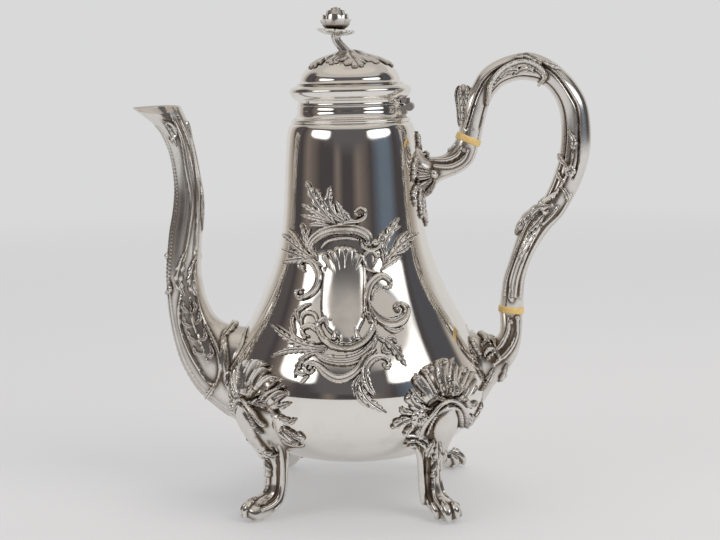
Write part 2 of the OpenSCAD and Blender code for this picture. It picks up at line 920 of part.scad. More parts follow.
module finial_calyx() {
    color(worn_silver)
    translate([-finial_lean, 0, calyx_z])
    union() {
        cylinder(r = 2.8, h = 1.2, $fn = 48);
        translate([0, 0, 1])
            linear_extrude(1.4 - solder_gap)
                leafy_disc(calyx_r, 7, 2.2);
    }
}

module finial_flower() {
    petals = 6;
    color(worn_silver)
    translate([-finial_lean, 0, flower_z])
    union() {
        rotate_extrude()
            polygon(concat(
                [[0, 0]],
                bezier(
                    [3.2, 0], [flower_r * 1.15, flower_h * 0.2],
                    [flower_r * 1.05, flower_h * 0.8], [flower_r * 0.45, flower_h * 0.93], 8
                ),
                [[0, flower_h]]
            ));
        for (i = [0:petals - 1])
            rotate(60 * i)
            translate([flower_r * 0.72, 0, flower_h * 0.55])
                sphere(r = flower_r * 0.3, $fn = 32);
    }
}

module finial_nut() {
    nut_r = 3.6;
    nut_h = 2.4;
    color(worn_silver)
    translate([0, 0, dome_top_z - lid_wall - nut_h - 0.35])
    difference() {
        cylinder(r = nut_r, h = nut_h, $fn = 6);
        translate([0, 0, -through])
            cylinder(r = stud_r + 0.03, h = nut_h + 2 * through, $fn = 32);
    }
}

body_shell();
neck_collar();
spout();
handle_upper_socket();
handle_lower_socket();
handle_grip();
insulator_upper();
insulator_lower();
handle_cross_pins();
foot_front_left();
foot_front_right();
foot_back_left();
foot_back_right();
cartouche_front();
cartouche_back();
hinge_body_leaf();
hinge_pin();
hinge_lid_leaf();
lid_shell();
lid_bezel();
finial_mount();
finial_stem();
finial_calyx();
finial_flower();
finial_nut();
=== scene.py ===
# %% [markdown]
# # A footed silver coffee pot
# The pot has a raised body, a cast spout and handle, four cast feet and a relief on each side,
# all soldered together, and a lid that swings on a hinge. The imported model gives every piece
# its place, so each one is made where it belongs and rides on the pot or on the lid.

# %% Frame
import math

import bpy
import numpy as np
from mathutils import Matrix, Vector
from mathutils.bvhtree import BVHTree


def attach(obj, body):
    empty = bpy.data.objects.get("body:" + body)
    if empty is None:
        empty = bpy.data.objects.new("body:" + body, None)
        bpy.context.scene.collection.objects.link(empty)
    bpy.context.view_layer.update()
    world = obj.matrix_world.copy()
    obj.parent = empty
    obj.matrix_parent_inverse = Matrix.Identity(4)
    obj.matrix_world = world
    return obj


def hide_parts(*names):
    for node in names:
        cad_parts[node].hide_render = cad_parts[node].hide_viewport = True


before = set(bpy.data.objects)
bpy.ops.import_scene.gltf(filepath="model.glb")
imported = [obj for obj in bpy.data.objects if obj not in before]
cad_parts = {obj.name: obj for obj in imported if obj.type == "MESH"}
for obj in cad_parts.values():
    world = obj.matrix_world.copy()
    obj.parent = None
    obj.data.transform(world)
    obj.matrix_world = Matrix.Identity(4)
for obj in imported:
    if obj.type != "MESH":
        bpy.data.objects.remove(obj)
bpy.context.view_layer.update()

MM = 0.001

# %% [markdown]
# ## Camera
# The camera comes first, because some ornament is drawn in its frame and then laid on the metal.
# It stands 0.7 m in front, a little right of the middle and a hand higher than the belly, and
# looks slightly down. A long lens keeps the pot's proportions.

# %% Camera
frame_w, frame_h = 720, 540
focal_px = 1410
sensor_mm = 36
camera_place = Vector((59.14, -714.81, 216.21))
turned_left, looking_down, rolled = 0.0786, 0.13677, -0.02275
camera_turn = (
    Matrix.Rotation(turned_left, 3, "Z") @ Matrix.Rotation(math.pi / 2 - looking_down, 3, "X")
    @ Matrix.Rotation(rolled, 3, "Z")
)
camera_data = bpy.data.cameras.new("camera")
camera_data.sensor_width = sensor_mm
camera_data.lens = sensor_mm * focal_px / frame_w
camera = bpy.data.objects.new("camera", camera_data)
camera.matrix_world = Matrix.Translation(camera_place * MM) @ camera_turn.to_4x4()
bpy.context.collection.objects.link(camera)
bpy.context.scene.camera = camera
print("lens", camera_data.lens, "mm")

# %% [markdown]
# ## Curves
# Silversmiths draw an outline before they turn or cast it. These helpers draw such outlines as
# rows of numbers in millimetres: a Bezier curve, a smooth curve through given rows, an arc, and
# the same line with its points evenly spaced.

# %% Curves
def bezier(a, b, c, d, steps):
    a, b, c, d = (np.array(p, float) for p in (a, b, c, d))
    t = np.linspace(0, 1, steps + 1)[:, None]
    s = 1 - t
    return s**3 * a + 3 * s * s * t * b + 3 * s * t * t * c + t**3 * d


def smooth(rows, steps):
    """A smooth curve through the rows, with some steps in each span."""
    rows = np.array(rows, float)
    padded = np.vstack([rows[:1], rows, rows[-1:]])
    t = np.linspace(0, 1, steps, endpoint=False)[:, None]
    spans = [
        0.5 * (2 * b + (c - a) * t + (2 * a - 5 * b + 4 * c - d) * t * t
               + (3 * b - a - 3 * c + d) * t**3)
        for a, b, c, d in zip(padded, padded[1:], padded[2:], padded[3:])
    ]
    return np.vstack(spans + [rows[-1:]])


def arc(centre, r, start, end, steps):
    angle = np.radians(np.linspace(start, end, steps + 1))
    return np.array(centre) + r * np.column_stack([np.cos(angle), np.sin(angle)])


def lengths(points):
    """Distance along a line of points, from its start."""
    return np.concatenate([[0], np.cumsum(np.linalg.norm(np.diff(points, axis=0), axis=1))])


def evenly(rows, spacing, place=slice(0, 2)):
    """The same rows, about spacing apart, as measured in their place columns."""
    along = lengths(rows[:, place])
    wanted = np.linspace(0, along[-1], max(2, round(along[-1] / spacing) + 1))
    return np.column_stack([np.interp(wanted, along, column) for column in rows.T])


def shifted(line, distance):
    """An open line moved to its left."""
    ahead = np.gradient(line, axis=0)
    left = np.column_stack([-ahead[:, 1], ahead[:, 0]])
    return line + distance * left / np.linalg.norm(left, axis=1)[:, None]


# %% [markdown]
# ## Making meshes
# Round pieces are turned: the closed outline stands on a circle's vertices, and spin carries it
# round the axis. Cast pieces start as a flat grid that is bent into shape, because a grid keeps
# its rows, so ornament can be raised on it afterwards. Both end as one closed mesh whose faces
# point outwards.

# %% Making meshes
merge_gap = 0.002


def points_of(piece):
    flat = np.empty(len(piece.data.vertices) * 3)
    piece.data.vertices.foreach_get("co", flat)
    return flat.reshape(-1, 3) / MM


def set_points(piece, points):
    piece.data.vertices.foreach_set("co", (np.asarray(points) * MM).ravel())
    piece.data.update()


def normals_of(piece):
    flat = np.empty(len(piece.data.vertices) * 3)
    piece.data.vertex_normals.foreach_get("vector", flat)
    return flat.reshape(-1, 3)


def named(name):
    """The new primitive, which is the active object, under its name."""
    piece = bpy.context.object
    piece.name = name
    piece.data.name = name
    return piece


def only(piece):
    bpy.ops.object.select_all(action="DESELECT")
    piece.select_set(True)
    bpy.context.view_layer.objects.active = piece


def in_edit_mode(piece, *steps):
    """Runs steps in edit mode, on whatever is selected in the mesh."""
    only(piece)
    bpy.ops.object.mode_set(mode="EDIT")
    for step in steps:
        step()
    bpy.ops.object.mode_set(mode="OBJECT")
    return piece


def select_whole():
    bpy.ops.mesh.select_all(action="SELECT")


def edited(piece, *steps):
    """Runs edit-mode steps on the whole mesh, merges doubles and turns the faces outwards."""
    return in_edit_mode(
        piece, select_whole, *steps, select_whole,
        lambda: bpy.ops.mesh.remove_doubles(threshold=merge_gap * MM),
        bpy.ops.mesh.delete_loose, select_whole,
        lambda: bpy.ops.mesh.normals_make_consistent(inside=False)
    )


def softened(piece, degrees=45):
    only(piece)
    bpy.ops.object.shade_smooth_by_angle(angle=math.radians(degrees))
    return piece


def turned(name, outline, steps=144):
    """A round piece from its closed outline of (radius, height) points."""
    bpy.ops.object.select_all(action="DESELECT")
    bpy.ops.mesh.primitive_circle_add(vertices=len(outline), radius=1)
    piece = named(name)
    set_points(piece, [(r, 0, z) for r, z in outline])
    return softened(edited(piece, lambda: bpy.ops.mesh.spin(
        steps=steps, angle=2 * math.pi, center=(0, 0, 0), axis=(0, 0, 1)
    )))


def finish_piece(piece, body, nodes, finish):
    """Gives a piece its finish, its body and the CAD nodes that it stands for."""
    piece.data.materials.clear()
    piece.data.materials.append(finish)
    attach(piece, body)
    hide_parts(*nodes)
    print(piece.name, len(piece.data.vertices), "vertices,", len(piece.data.polygons), "faces")


def formed(name, places):
    """A flat grid bent to places[row, column], closed where its edges meet."""
    rows, columns = places.shape[0] - 1, places.shape[1] - 1
    bpy.ops.object.select_all(action="DESELECT")
    bpy.ops.mesh.primitive_grid_add(x_subdivisions=rows, y_subdivisions=columns, size=1)
    piece = named(name)
    share = points_of(piece)[:, :2] * MM + 0.5
    row, column = np.rint(share * (rows, columns)).astype(int).T
    set_points(piece, places[row, column])
    return edited(piece)


# %% [markdown]
# ## Relief
# Chased ornament is a set of raised lines: scrolls, beads, bands, knobs and panels. Each one is
# drawn as a kind, a height and a middle line with its half width. A vertex near the line rises
# by that kind's profile, so one way serves all the castings. Leaves, petals and roses are drawn
# the same way, but here the metal only swells a little under them: they are laid on it later,
# as meshes of their own. Where the metal lies lower than what is round it, tarnish stays when
# it is polished: that depth goes in an attribute.

# %% Profiles
def smooth_edge(s, power):
    return np.sqrt(np.clip(1 - np.abs(s) ** power, 0, 1))


def bump_at(s, middle, width):
    return np.exp(-(((s - middle) / width) ** 2))


def bead(s):
    return smooth_edge(s, 2)


def field(s):
    """A low swelling panel."""
    return smooth_edge(s, 3)


def band(s):
    """A flat strap with a rim on each side and a rib down its middle."""
    rims = bump_at(np.abs(s), 0.78, 0.2)
    return smooth_edge(s, 8) * (0.45 + 0.5 * rims + 0.5 * bump_at(s, 0, 0.3))


def scroll(s):
    """A C or S scroll: a strong rim outside, a channel and a thin rim inside."""
    outer_rim, inner_rim = bump_at(s, 0.45, 0.35), bump_at(s, -0.7, 0.2)
    return smooth_edge(s, 8) * (0.55 + 0.45 * outer_rim + 0.2 * inner_rim)


def groove(s):
    return 0.5 + 0.5 * np.cos(math.pi * s)


def mound(s):
    """The low swelling that carries a leaf, a petal or a rose."""
    return 0.3 * smooth_edge(np.minimum(s / 0.6, 1), 2)


PROFILES = {
    "bead": bead, "knob": bead, "field": field, "band": band, "scroll": scroll,
    "groove": groove, "leaf": mound, "flute": mound, "rose": mound,
}

# %% [markdown]
# A line reaches the metal in one of two ways. Ornament that faces the camera is drawn in the
# camera's frame and cast on the surface along the camera's rays. Ornament elsewhere is given in
# degrees and heights on the body, or along a casting.

# %% Laying lines on the metal
frame_step, laid_step, share_step = 0.6, 0.4, 0.004


def tree_of(*pieces):
    """Something to cast rays on: the faces of some pieces, in millimetres."""
    points, faces = [], []
    for piece in pieces:
        shift = len(points)
        points += points_of(piece).tolist()
        faces += [[v + shift for v in face.vertices] for face in piece.data.polygons]
    return BVHTree.FromPolygons(points, faces)


def cast(tree, x, y):
    """The place on the metal behind a point of the camera's frame."""
    toward = camera_turn @ Vector(
        ((x - frame_w / 2) / focal_px, (frame_h / 2 - y) / focal_px, -1)
    )
    return tree.ray_cast(camera_place, toward.normalized())[0]


def dense(points, spacing):
    points = np.array(points, float)
    return points if len(points) == 1 else evenly(smooth(points, 8), spacing)


def traced(tree, drawn, mirrored=False):
    """Lines drawn in the camera's frame, on the metal, and also on its far side if mirrored."""
    lines = []
    for kind, height, points in drawn:
        hits = [(cast(tree, x, y), width) for x, y, width in dense(points, frame_step)]
        line = np.array([(*place, width) for place, width in hits if place])
        if len(line):
            lines.append((kind, height, line))
            if mirrored:
                lines.append((kind, height, line * (1, -1, 1, 1)))
    return lines


# %% Raising the relief
least_facing = -0.2
covers_grooves = 0.2
full_tarnish, tarnish_rounds = 0.4, 24


def stroke_height(points, normals, kind, line):
    """The vertices near one line, and the share of its height that each one rises."""
    widest = line[:, 3].max()
    low, high = line[:, :3].min(0) - widest, line[:, :3].max(0) + widest
    near = np.flatnonzero(((points > low) & (points < high)).all(1))
    if not len(near):
        return near, near
    squares = (points[near] ** 2).sum(1)[:, None] + (line[:, :3] ** 2).sum(1)
    squares -= 2 * points[near] @ line[:, :3].T
    nearest = squares.argmin(1)
    line_normals = normals[near][squares.argmin(0)]
    facing = (normals[near] * line_normals[nearest]).sum(1) > least_facing
    offset = points[near] - line[nearest, :3]
    s = np.clip(np.linalg.norm(offset, axis=1) / line[nearest, 3], 0, 1)
    if kind == "scroll" and len(line) > 4:
        ahead = np.gradient(line[:, :3], axis=0)
        middle_normal = normals[near[nearest.argsort()[len(near) // 2]]]
        turn = np.sign((np.cross(ahead[:-1], ahead[1:]) @ middle_normal).sum())
        side = np.sign((np.cross(normals[near], ahead[nearest]) * offset).sum(1))
        s = s * -turn * side
    return near, PROFILES[kind](s) * facing


def blurred(values, edges, rounds):
    """Each vertex's value mixed with its neighbours', some times over."""
    a, b = edges.T
    size = len(values)
    count = np.maximum(np.bincount(edges.ravel(), minlength=size), 1)
    for _ in range(rounds):
        around = np.bincount(a, values[b], size) + np.bincount(b, values[a], size)
        values = (values + around / count) / 2
    return values


def edges_of(piece):
    flat = np.empty(len(piece.data.edges) * 2, int)
    piece.data.edges.foreach_get("vertices", flat)
    return flat.reshape(-1, 2)


def write_shares(piece, name, values):
    store = piece.data.attributes.get(name) or piece.data.attributes.new(name, "FLOAT", "POINT")
    store.data.foreach_set("value", np.asarray(values, np.float32))


def raised(piece, lines):
    """Raises the lines on a piece, or sinks those below zero, and writes its hollows."""
    points, normals = points_of(piece), normals_of(piece)
    height, sunk = np.zeros((2, len(points)))
    for kind, tall, line in lines:
        near, share = stroke_height(points, normals, kind, line)
        height[near] = np.maximum(height[near], tall * share)
        sunk[near] = np.minimum(sunk[near], tall * share)
    height += sunk * (height < covers_grooves)
    set_points(piece, points + normals * height[:, None])
    lower = blurred(height, edges_of(piece), tarnish_rounds) - height
    write_shares(piece, "hollow", np.clip(lower / full_tarnish, 0, 1))
    return height


# %% [markdown]
# ## Body
# The body is one sheet of silver, raised into a pear and a neck. Its outline is turned, with the
# same numbers as the CAD, and its wall goes back down inside, so an open lid shows a real hollow.

# %% Body
belly_r, belly_z = 66.6, 63.5
waist_r, waist_z = 40.2, 124
neck_r, neck_z = 32.9, 193
underside_z, underside_r = 24.5, 20
shoulder_h, wall, mouth_r = 9, 1.2, 25
shoulder_r = neck_r - 2.7
pattern_drop = 6.5
pattern_z = belly_z - pattern_drop
waist_flare = 0.347
neck_span = neck_z - shoulder_h - waist_z
skin_gap = 0.05
body_line = evenly(np.vstack([
    bezier(
        (underside_r, underside_z), (belly_r * 0.75, underside_z), (belly_r, belly_z - 23),
        (belly_r, belly_z), 60
    ),
    bezier(
        (belly_r, belly_z), (belly_r, belly_z + 12),
        (waist_r + waist_flare * 25, waist_z - 25), (waist_r, waist_z), 60
    )[1:],
    bezier(
        (waist_r, waist_z),
        (waist_r - waist_flare * neck_span * 0.29, waist_z + neck_span * 0.29),
        (neck_r + 2.2, neck_z - shoulder_h - neck_span / 3), (neck_r, neck_z - shoulder_h), 40
    )[1:],
    bezier(
        (neck_r, neck_z - shoulder_h), (neck_r - 0.5, neck_z - shoulder_h / 2),
        (neck_r - 1.2, neck_z - 0.4), (shoulder_r, neck_z), 16
    )[1:],
]), spacing=1.1)


def body_radius(z):
    return np.interp(z, body_line[:, 1], body_line[:, 0])


def on_body(degrees, z):
    """A place on the body's outside."""
    angle, r = np.radians(degrees), body_radius(z)
    return np.column_stack([r * np.cos(angle), r * np.sin(angle), z])


def laid(drawn):
    """Lines given as (degrees from the handle, height, half width), on the body's two sides."""
    lines = []
    for kind, height, points in drawn:
        degrees, z, width = dense(points, laid_step).T
        for side in (1, -1) if degrees.any() else (1,):
            places = on_body(side * degrees, z)
            lines.append((kind, height, np.column_stack([places, width])))
    return lines


def kept_off_body(points):
    """The same points, with those inside the body brought out to its skin."""
    r, z = np.hypot(points[:, 0], points[:, 1]), points[:, 2]
    inside = np.flatnonzero((z > underside_z) & (z < neck_z) & (r < body_radius(z) + skin_gap))
    skin = shifted(body_line, -skin_gap)
    flat = np.column_stack([r[inside], z[inside]])
    nearest = ((flat[:, None] - skin) ** 2).sum(2).argmin(1)
    out = points.copy()
    out[inside, :2] *= (skin[nearest, 0] / np.maximum(r[inside], 0.1))[:, None]
    out[inside, 2] = skin[nearest, 1]
    return out


spigot_r = mouth_r + 1
inner_line = shifted(body_line, wall)[::-1]
body = turned("body", np.vstack([
    [(0, underside_z)], body_line, [(spigot_r + skin_gap, neck_z)],
    [(spigot_r + skin_gap, neck_z - wall)], inner_line[inner_line[:, 0] < belly_r],
    [(0, underside_z + wall)],
]), steps=192)
body_tree = tree_of(body)

# %% [markdown]
# ## Collar and lid
# The collar strengthens the mouth, and its bead covers the soldered joint with the neck. The
# lid is spun from sheet: a skirt with a round moulding, a step and a dome. All three are
# turned from the outlines of the CAD, drawn with finer curves.

# %% Collar and lid
collar_r, collar_h, bead_r = 27, 9, 1.1
rim_z = neck_z + collar_h
collar = turned("collar", np.vstack([
    [(mouth_r, neck_z - 3), (spigot_r, neck_z - 3), (spigot_r, neck_z)],
    arc((shoulder_r - bead_r, neck_z + bead_r), bead_r, -90, 90, 16),
    bezier(
        (shoulder_r - 0.9, neck_z + 2 * bead_r + 0.1), (collar_r + 0.8, neck_z + 3.2),
        (collar_r + 0.1, neck_z + 4.6), (collar_r, neck_z + 6.4), 14
    ),
    [(collar_r, rim_z - 0.3), (collar_r - 0.3, rim_z), (mouth_r, rim_z)],
]), steps=160)

lid_z, lid_wall, lid_band_h = 202.2, 1.2, 11.6
dome_z, dome_r, dome_h = lid_z + lid_band_h, 25.2, 12.8
dome_top = dome_z + dome_h
step_r = collar_r + 0.7
lid_bulge = 3.8
bulge_r = collar_r + lid_bulge * 1.36


def dome_line(inset, steps):
    return bezier(
        (dome_r - inset, dome_z), (dome_r - 0.6 - inset, dome_z + dome_h * 0.6),
        (dome_r * 0.55, dome_top - inset), (0, dome_top - inset), steps
    )


lid = turned("lid", np.vstack([
    [(collar_r, lid_z), (collar_r - 0.3, lid_z + 0.7), (collar_r - 0.3, lid_z + 1.3)],
    bezier(
        (collar_r, lid_z + 2.2), (bulge_r - 1.6, lid_z + 3.4), (bulge_r + 0.9, lid_z + 8.6),
        (step_r, lid_z + lid_band_h - 2.2), 28
    ),
    [(step_r - 0.8, dome_z - 1.8), (step_r - 0.8, dome_z - 0.9), (dome_r + 0.4, dome_z - 0.5)],
    dome_line(0, 30), dome_line(lid_wall, 30)[::-1],
    bezier(
        (collar_r - lid_wall, lid_z + 3.4), (bulge_r - lid_wall * 1.2, lid_z + 3.6),
        (bulge_r - lid_wall * 1.2, lid_z + 7.8), (dome_r - lid_wall, lid_z + lid_band_h - 2), 20
    )[::-1],
    [(collar_r - lid_wall, lid_z)],
]), steps=160)
print("lid from", lid_z, "to", dome_top, "mm")

# %% [markdown]
# ## Castings
# The spout, the handle and the legs are cast. Each is a loft: oval sections whose outer and
# inner edges follow two curves, as in the CAD. The sections make the rows of a grid that is
# rolled round, and where a casting meets the body its metal is fitted to the body's skin.

# %% Castings
def loft_rows(stations, spacing):
    """Stations of (outer x, outer z, inner x, inner z, half width) as close, even rows."""
    s = smooth(stations, 8)
    middle, arm = (s[:, :2] + s[:, 2:4]) / 2, (s[:, :2] - s[:, 2:4]) / 2
    return evenly(np.column_stack([middle, arm, s[:, 4]]), spacing)


def on_loft(rows, share, degrees):
    """The place at a share of a loft's length, at an angle round its section."""
    along = np.linspace(0, 1, len(rows))
    x, z, arm_x, arm_z, half = (np.interp(share, along, column) for column in rows.T)
    angle = np.radians(degrees)
    c, s = np.cos(angle), np.sin(angle)
    return np.stack([x + arm_x * c, half * s + 0 * c, z + arm_z * c], axis=-1)


def cast_piece(name, rows, around):
    share = np.linspace(0, 1, len(rows))[:, None]
    places = on_loft(rows, share, np.linspace(0, 360, around + 1))
    poles = [np.broadcast_to(end.mean(0), (1, *end.shape)) for end in (places[0], places[-1])]
    places = np.concatenate([poles[0], places, poles[1]])
    flat = kept_off_body(places.reshape(-1, 3))
    return formed(name, flat.reshape(places.shape))


def along_loft(rows, drawn, both_sides=True):
    """Lines given as (share, degrees, half width) on a loft, on its two sides."""
    lines = []
    for kind, height, points in drawn:
        share, degrees, width = dense(points, share_step).T
        for side in (1, -1) if both_sides else (1,):
            places = on_loft(rows, share, side * degrees)
            lines.append((kind, height, np.column_stack([places, width])))
    return lines


def rotated(points, degrees):
    """Places, or samples of lines, turned about the pot's axis."""
    c, s = math.cos(math.radians(degrees)), math.sin(math.radians(degrees))
    out = points.copy()
    out[:, 0] = c * points[:, 0] - s * points[:, 1]
    out[:, 1] = s * points[:, 0] + c * points[:, 1]
    return out


def copied(piece, name, degrees=0):
    """A copy with its own mesh, turned about the pot's axis."""
    other = piece.copy()
    other.data = piece.data.copy()
    other.name = other.data.name = name
    bpy.context.collection.objects.link(other)
    set_points(other, rotated(points_of(other), degrees))
    return other


def joined(name, *pieces):
    only(pieces[0])
    for piece in pieces:
        piece.select_set(True)
    bpy.ops.object.join()
    return named(name)


# %% [markdown]
# Leaves, hollow petals and small roses are too fine for the grid of a casting, so each one is a
# little mesh of its own, laid on the metal along its line and joined to the casting.

# %% Leaves
blade_step, blade_columns, leaf_rounds = 0.4, 13, 5
deepest_lobe, shortest_lobe, longest_lobe = 0.42, 2.6, 5.5
leaf_section = ((0, 0.68), (0.1, 0.78), (0.3, 0.97), (0.5, 1.0), (0.78, 0.86), (1, 0.5))
petal_section = ((0, 0.2), (0.3, 0.3), (0.6, 0.8), (0.8, 1.0), (1, 0.7))


def on_metal(tree, places):
    """For each place, the nearest place on the metal and the metal's direction there."""
    found = [tree.find_nearest(place) for place in places.reshape(-1, 3).tolist()]
    nearest = np.array([hit[0] for hit in found]).reshape(places.shape)
    return nearest, np.array([hit[1] for hit in found]).reshape(places.shape)


def unit(vectors):
    return vectors / np.maximum(np.linalg.norm(vectors, axis=-1, keepdims=True), 1e-9)


def closed_blade(name, tree, low, high, tall):
    """A closed mesh from the lower and upper places of its rows, with its hollows written."""
    rows = np.concatenate([high, low[:, ::-1], high[:, :1]], axis=1)
    ends = [np.broadcast_to(rows[end].mean(0), (1, *rows.shape[1:])) for end in (0, -1)]
    piece = formed(name, np.concatenate([ends[0], rows, ends[1]]))
    points = points_of(piece)
    rise = np.linalg.norm(points - on_metal(tree, points)[0], axis=1)
    lower = (blurred(rise, edges_of(piece), leaf_rounds) - rise) / (0.16 * tall)
    write_shares(piece, "hollow", np.clip(np.maximum(lower, 0.7 - 0.8 * rise / tall), 0, 1))
    return piece


def blade(name, kind, tall, line, tree):
    """A leaf with lobes that sweep forward from its midrib, or a plain hollow petal."""
    line = evenly(line, blade_step, slice(0, 3))
    centre, width = line[:, :3], line[:, 3:]
    ahead = unit(np.gradient(centre, axis=0))
    along = lengths(centre)[:, None]
    share = along / along[-1]
    up = on_metal(tree, centre)[1]
    for _ in range(4):
        up = unit(up + np.roll(up, 1, 0) * (along > 0) + np.roll(up, -1, 0) * (share < 1))
    side = unit(np.cross(up, ahead))
    across = np.linspace(-1, 1, blade_columns)
    edge = np.abs(across)
    if kind == "leaf":
        lobed = deepest_lobe * np.clip((width.max() - 1.1) / 0.9, 0, 1)
        lobe_length = np.clip(1.7 * width.max(), shortest_lobe, longest_lobe)
        gap = 1 - np.abs(np.sin(math.pi * along / lobe_length)) ** 0.8
        out = across * width * (1 - lobed * gap)
        sweep, valleys = 0.9, 1 - 0.8 * lobed * gap * edge
        section = np.interp(edge, *zip(*leaf_section))
    else:
        out = across * width * np.sqrt(1 - np.clip((share - 0.8) / 0.21, 0, 1) ** 2)
        sweep, valleys = 0.25, 1
        section = np.interp(edge, *zip(*petal_section))
    flat = centre[:, None] + side[:, None] * out[..., None]
    flat += ahead[:, None] * (sweep * np.abs(out))[..., None]
    ground = on_metal(tree, flat)[0]
    ends = np.clip(0.5 + 5 * share, 0, 1) * np.clip(0.6 + 4 * (1 - share), 0, 1)
    lift = tall * section * valleys * ends
    return closed_blade(
        name, tree, ground + skin_gap * up[:, None], ground + up[:, None] * lift[..., None], tall
    )


def rose_rise(r, angle):
    """A small open flower: five petals, three inner ones and a pierced middle."""
    outer = smooth_edge(r, 3) * (0.42 + 0.28 * np.abs(np.cos(2.5 * angle)) ** 0.5)
    middle = np.clip((0.72 - r) / 0.1, 0, 1) * (0.72 + 0.12 * np.cos(3 * angle))
    inner = np.clip((0.42 - r) / 0.1, 0, 1)
    return np.maximum(np.maximum(outer, middle), inner) * (1 - 0.65 * bump_at(r, 0, 0.2))


def rosette(name, tall, line, tree):
    """A small open flower that stands a little off the metal."""
    foot, width = line[0, :3], line[0, 3]
    spots = foot + 0.7 * width * np.vstack([np.eye(3), -np.eye(3)])
    up = unit(on_metal(tree, spots)[1].sum(0))
    right = unit(np.cross((0, 0, 1), up))
    angle = np.linspace(0, 2 * math.pi, 61)
    s = np.linspace(0, 1, 15)[:, None]
    r = s * width * (1 - 0.16 * s**4 * (1 - np.abs(np.cos(2.5 * angle)) ** 0.6))
    flat = foot + (r * np.cos(angle))[..., None] * right
    flat = flat + (r * np.sin(angle))[..., None] * np.cross(up, right)
    high = flat + (tall * (0.45 + 0.55 * rose_rise(s, angle)))[..., None] * up
    low = flat[-1:] + 0.1 * up
    piece = formed(name, np.concatenate([high, low, np.broadcast_to(low.mean(1), low.shape)]))
    rise = (points_of(piece) - foot) @ up
    lower = (blurred(rise, edges_of(piece), leaf_rounds) - rise) / (0.05 * tall)
    write_shares(piece, "hollow", np.clip(lower, 0, 1))
    return piece


def with_leaves(piece, lines, tree):
    """Joins to a piece the leaves, petals and roses among its lines."""
    laid_on = [
        blade(f"{kind}_{n}", kind, tall, line, tree)
        for n, (kind, tall, line) in enumerate(lines) if kind in ("leaf", "flute")
    ]
    laid_on += [
        rosette(f"rose_{n}", tall, line, tree)
        for n, (kind, tall, line) in enumerate(lines) if kind == "rose"
    ]
    return softened(joined(piece.name, piece, *laid_on), 50)


# %% [markdown]
# A relief that is soldered on the body starts as a sheet on the body's skin. Its ornament is
# raised, the flat ground is cut away between the leaves, and the sheet gets a back.

# %% Reliefs on the body
least_relief = 0.04
pot_middle = (0, 0, 120)
plate_half_degrees, plate_step = 30, 0.5


def outward(piece):
    """Turns an open sheet's faces away from the pot's middle."""
    if ((points_of(piece) - pot_middle) * normals_of(piece)).sum() < 0:
        in_edit_mode(piece, select_whole, bpy.ops.mesh.flip_normals)
    return piece


def relief_sheet(name, facing, half_degrees, low, high, spacing):
    skin = body_line[(body_line[:, 1] > low) & (body_line[:, 1] < high)]
    skin = evenly(shifted(skin, -skin_gap), spacing)
    columns = round(math.radians(2 * half_degrees) * skin[:, 0].max() / spacing)
    angle = np.radians(facing + np.linspace(-half_degrees, half_degrees, columns + 1))
    r, z = skin[:, :1], skin[:, 1:]
    places = np.stack([r * np.cos(angle), r * np.sin(angle), z + 0 * angle], axis=2)
    return outward(formed(name, places))


def cut_out(piece, lines):
    """Raises lines on a sheet, cuts them out and backs them with the ground they rose from."""
    ground = points_of(piece)
    height = raised(piece, lines)
    low = height < least_relief
    points = points_of(piece)
    points[low] = ground[low]
    set_points(piece, points)
    stored = piece.data.attributes.new("ground", "FLOAT_VECTOR", "POINT")
    stored.data.foreach_set("vector", ground.ravel())
    in_edit_mode(
        piece, lambda: bpy.ops.mesh.select_mode(type="FACE"),
        lambda: bpy.ops.mesh.select_all(action="DESELECT")
    )
    for face in piece.data.polygons:
        face.select = bool(low[list(face.vertices)].all())
    in_edit_mode(
        piece, lambda: bpy.ops.mesh.delete(type="FACE"),
        lambda: bpy.ops.mesh.select_mode(type="VERT"), select_whole, bpy.ops.mesh.delete_loose
    )
    front = len(piece.data.vertices)
    in_edit_mode(piece, select_whole, bpy.ops.mesh.duplicate, bpy.ops.mesh.flip_normals)
    points = points_of(piece)
    stored = piece.data.attributes["ground"]
    back = np.empty(points.size)
    stored.data.foreach_get("vector", back)
    points[front:] = back.reshape(-1, 3)[front:]
    set_points(piece, points)
    piece.data.attributes.remove(stored)
    edited(piece)
    return height


# %% [markdown]
# ## The cartouche
# The relief on each side is a shield in a frame of scrolls, with acanthus leaves above it and
# reeds and a spray of flowers below. The shield's field is left plain for an engraver.

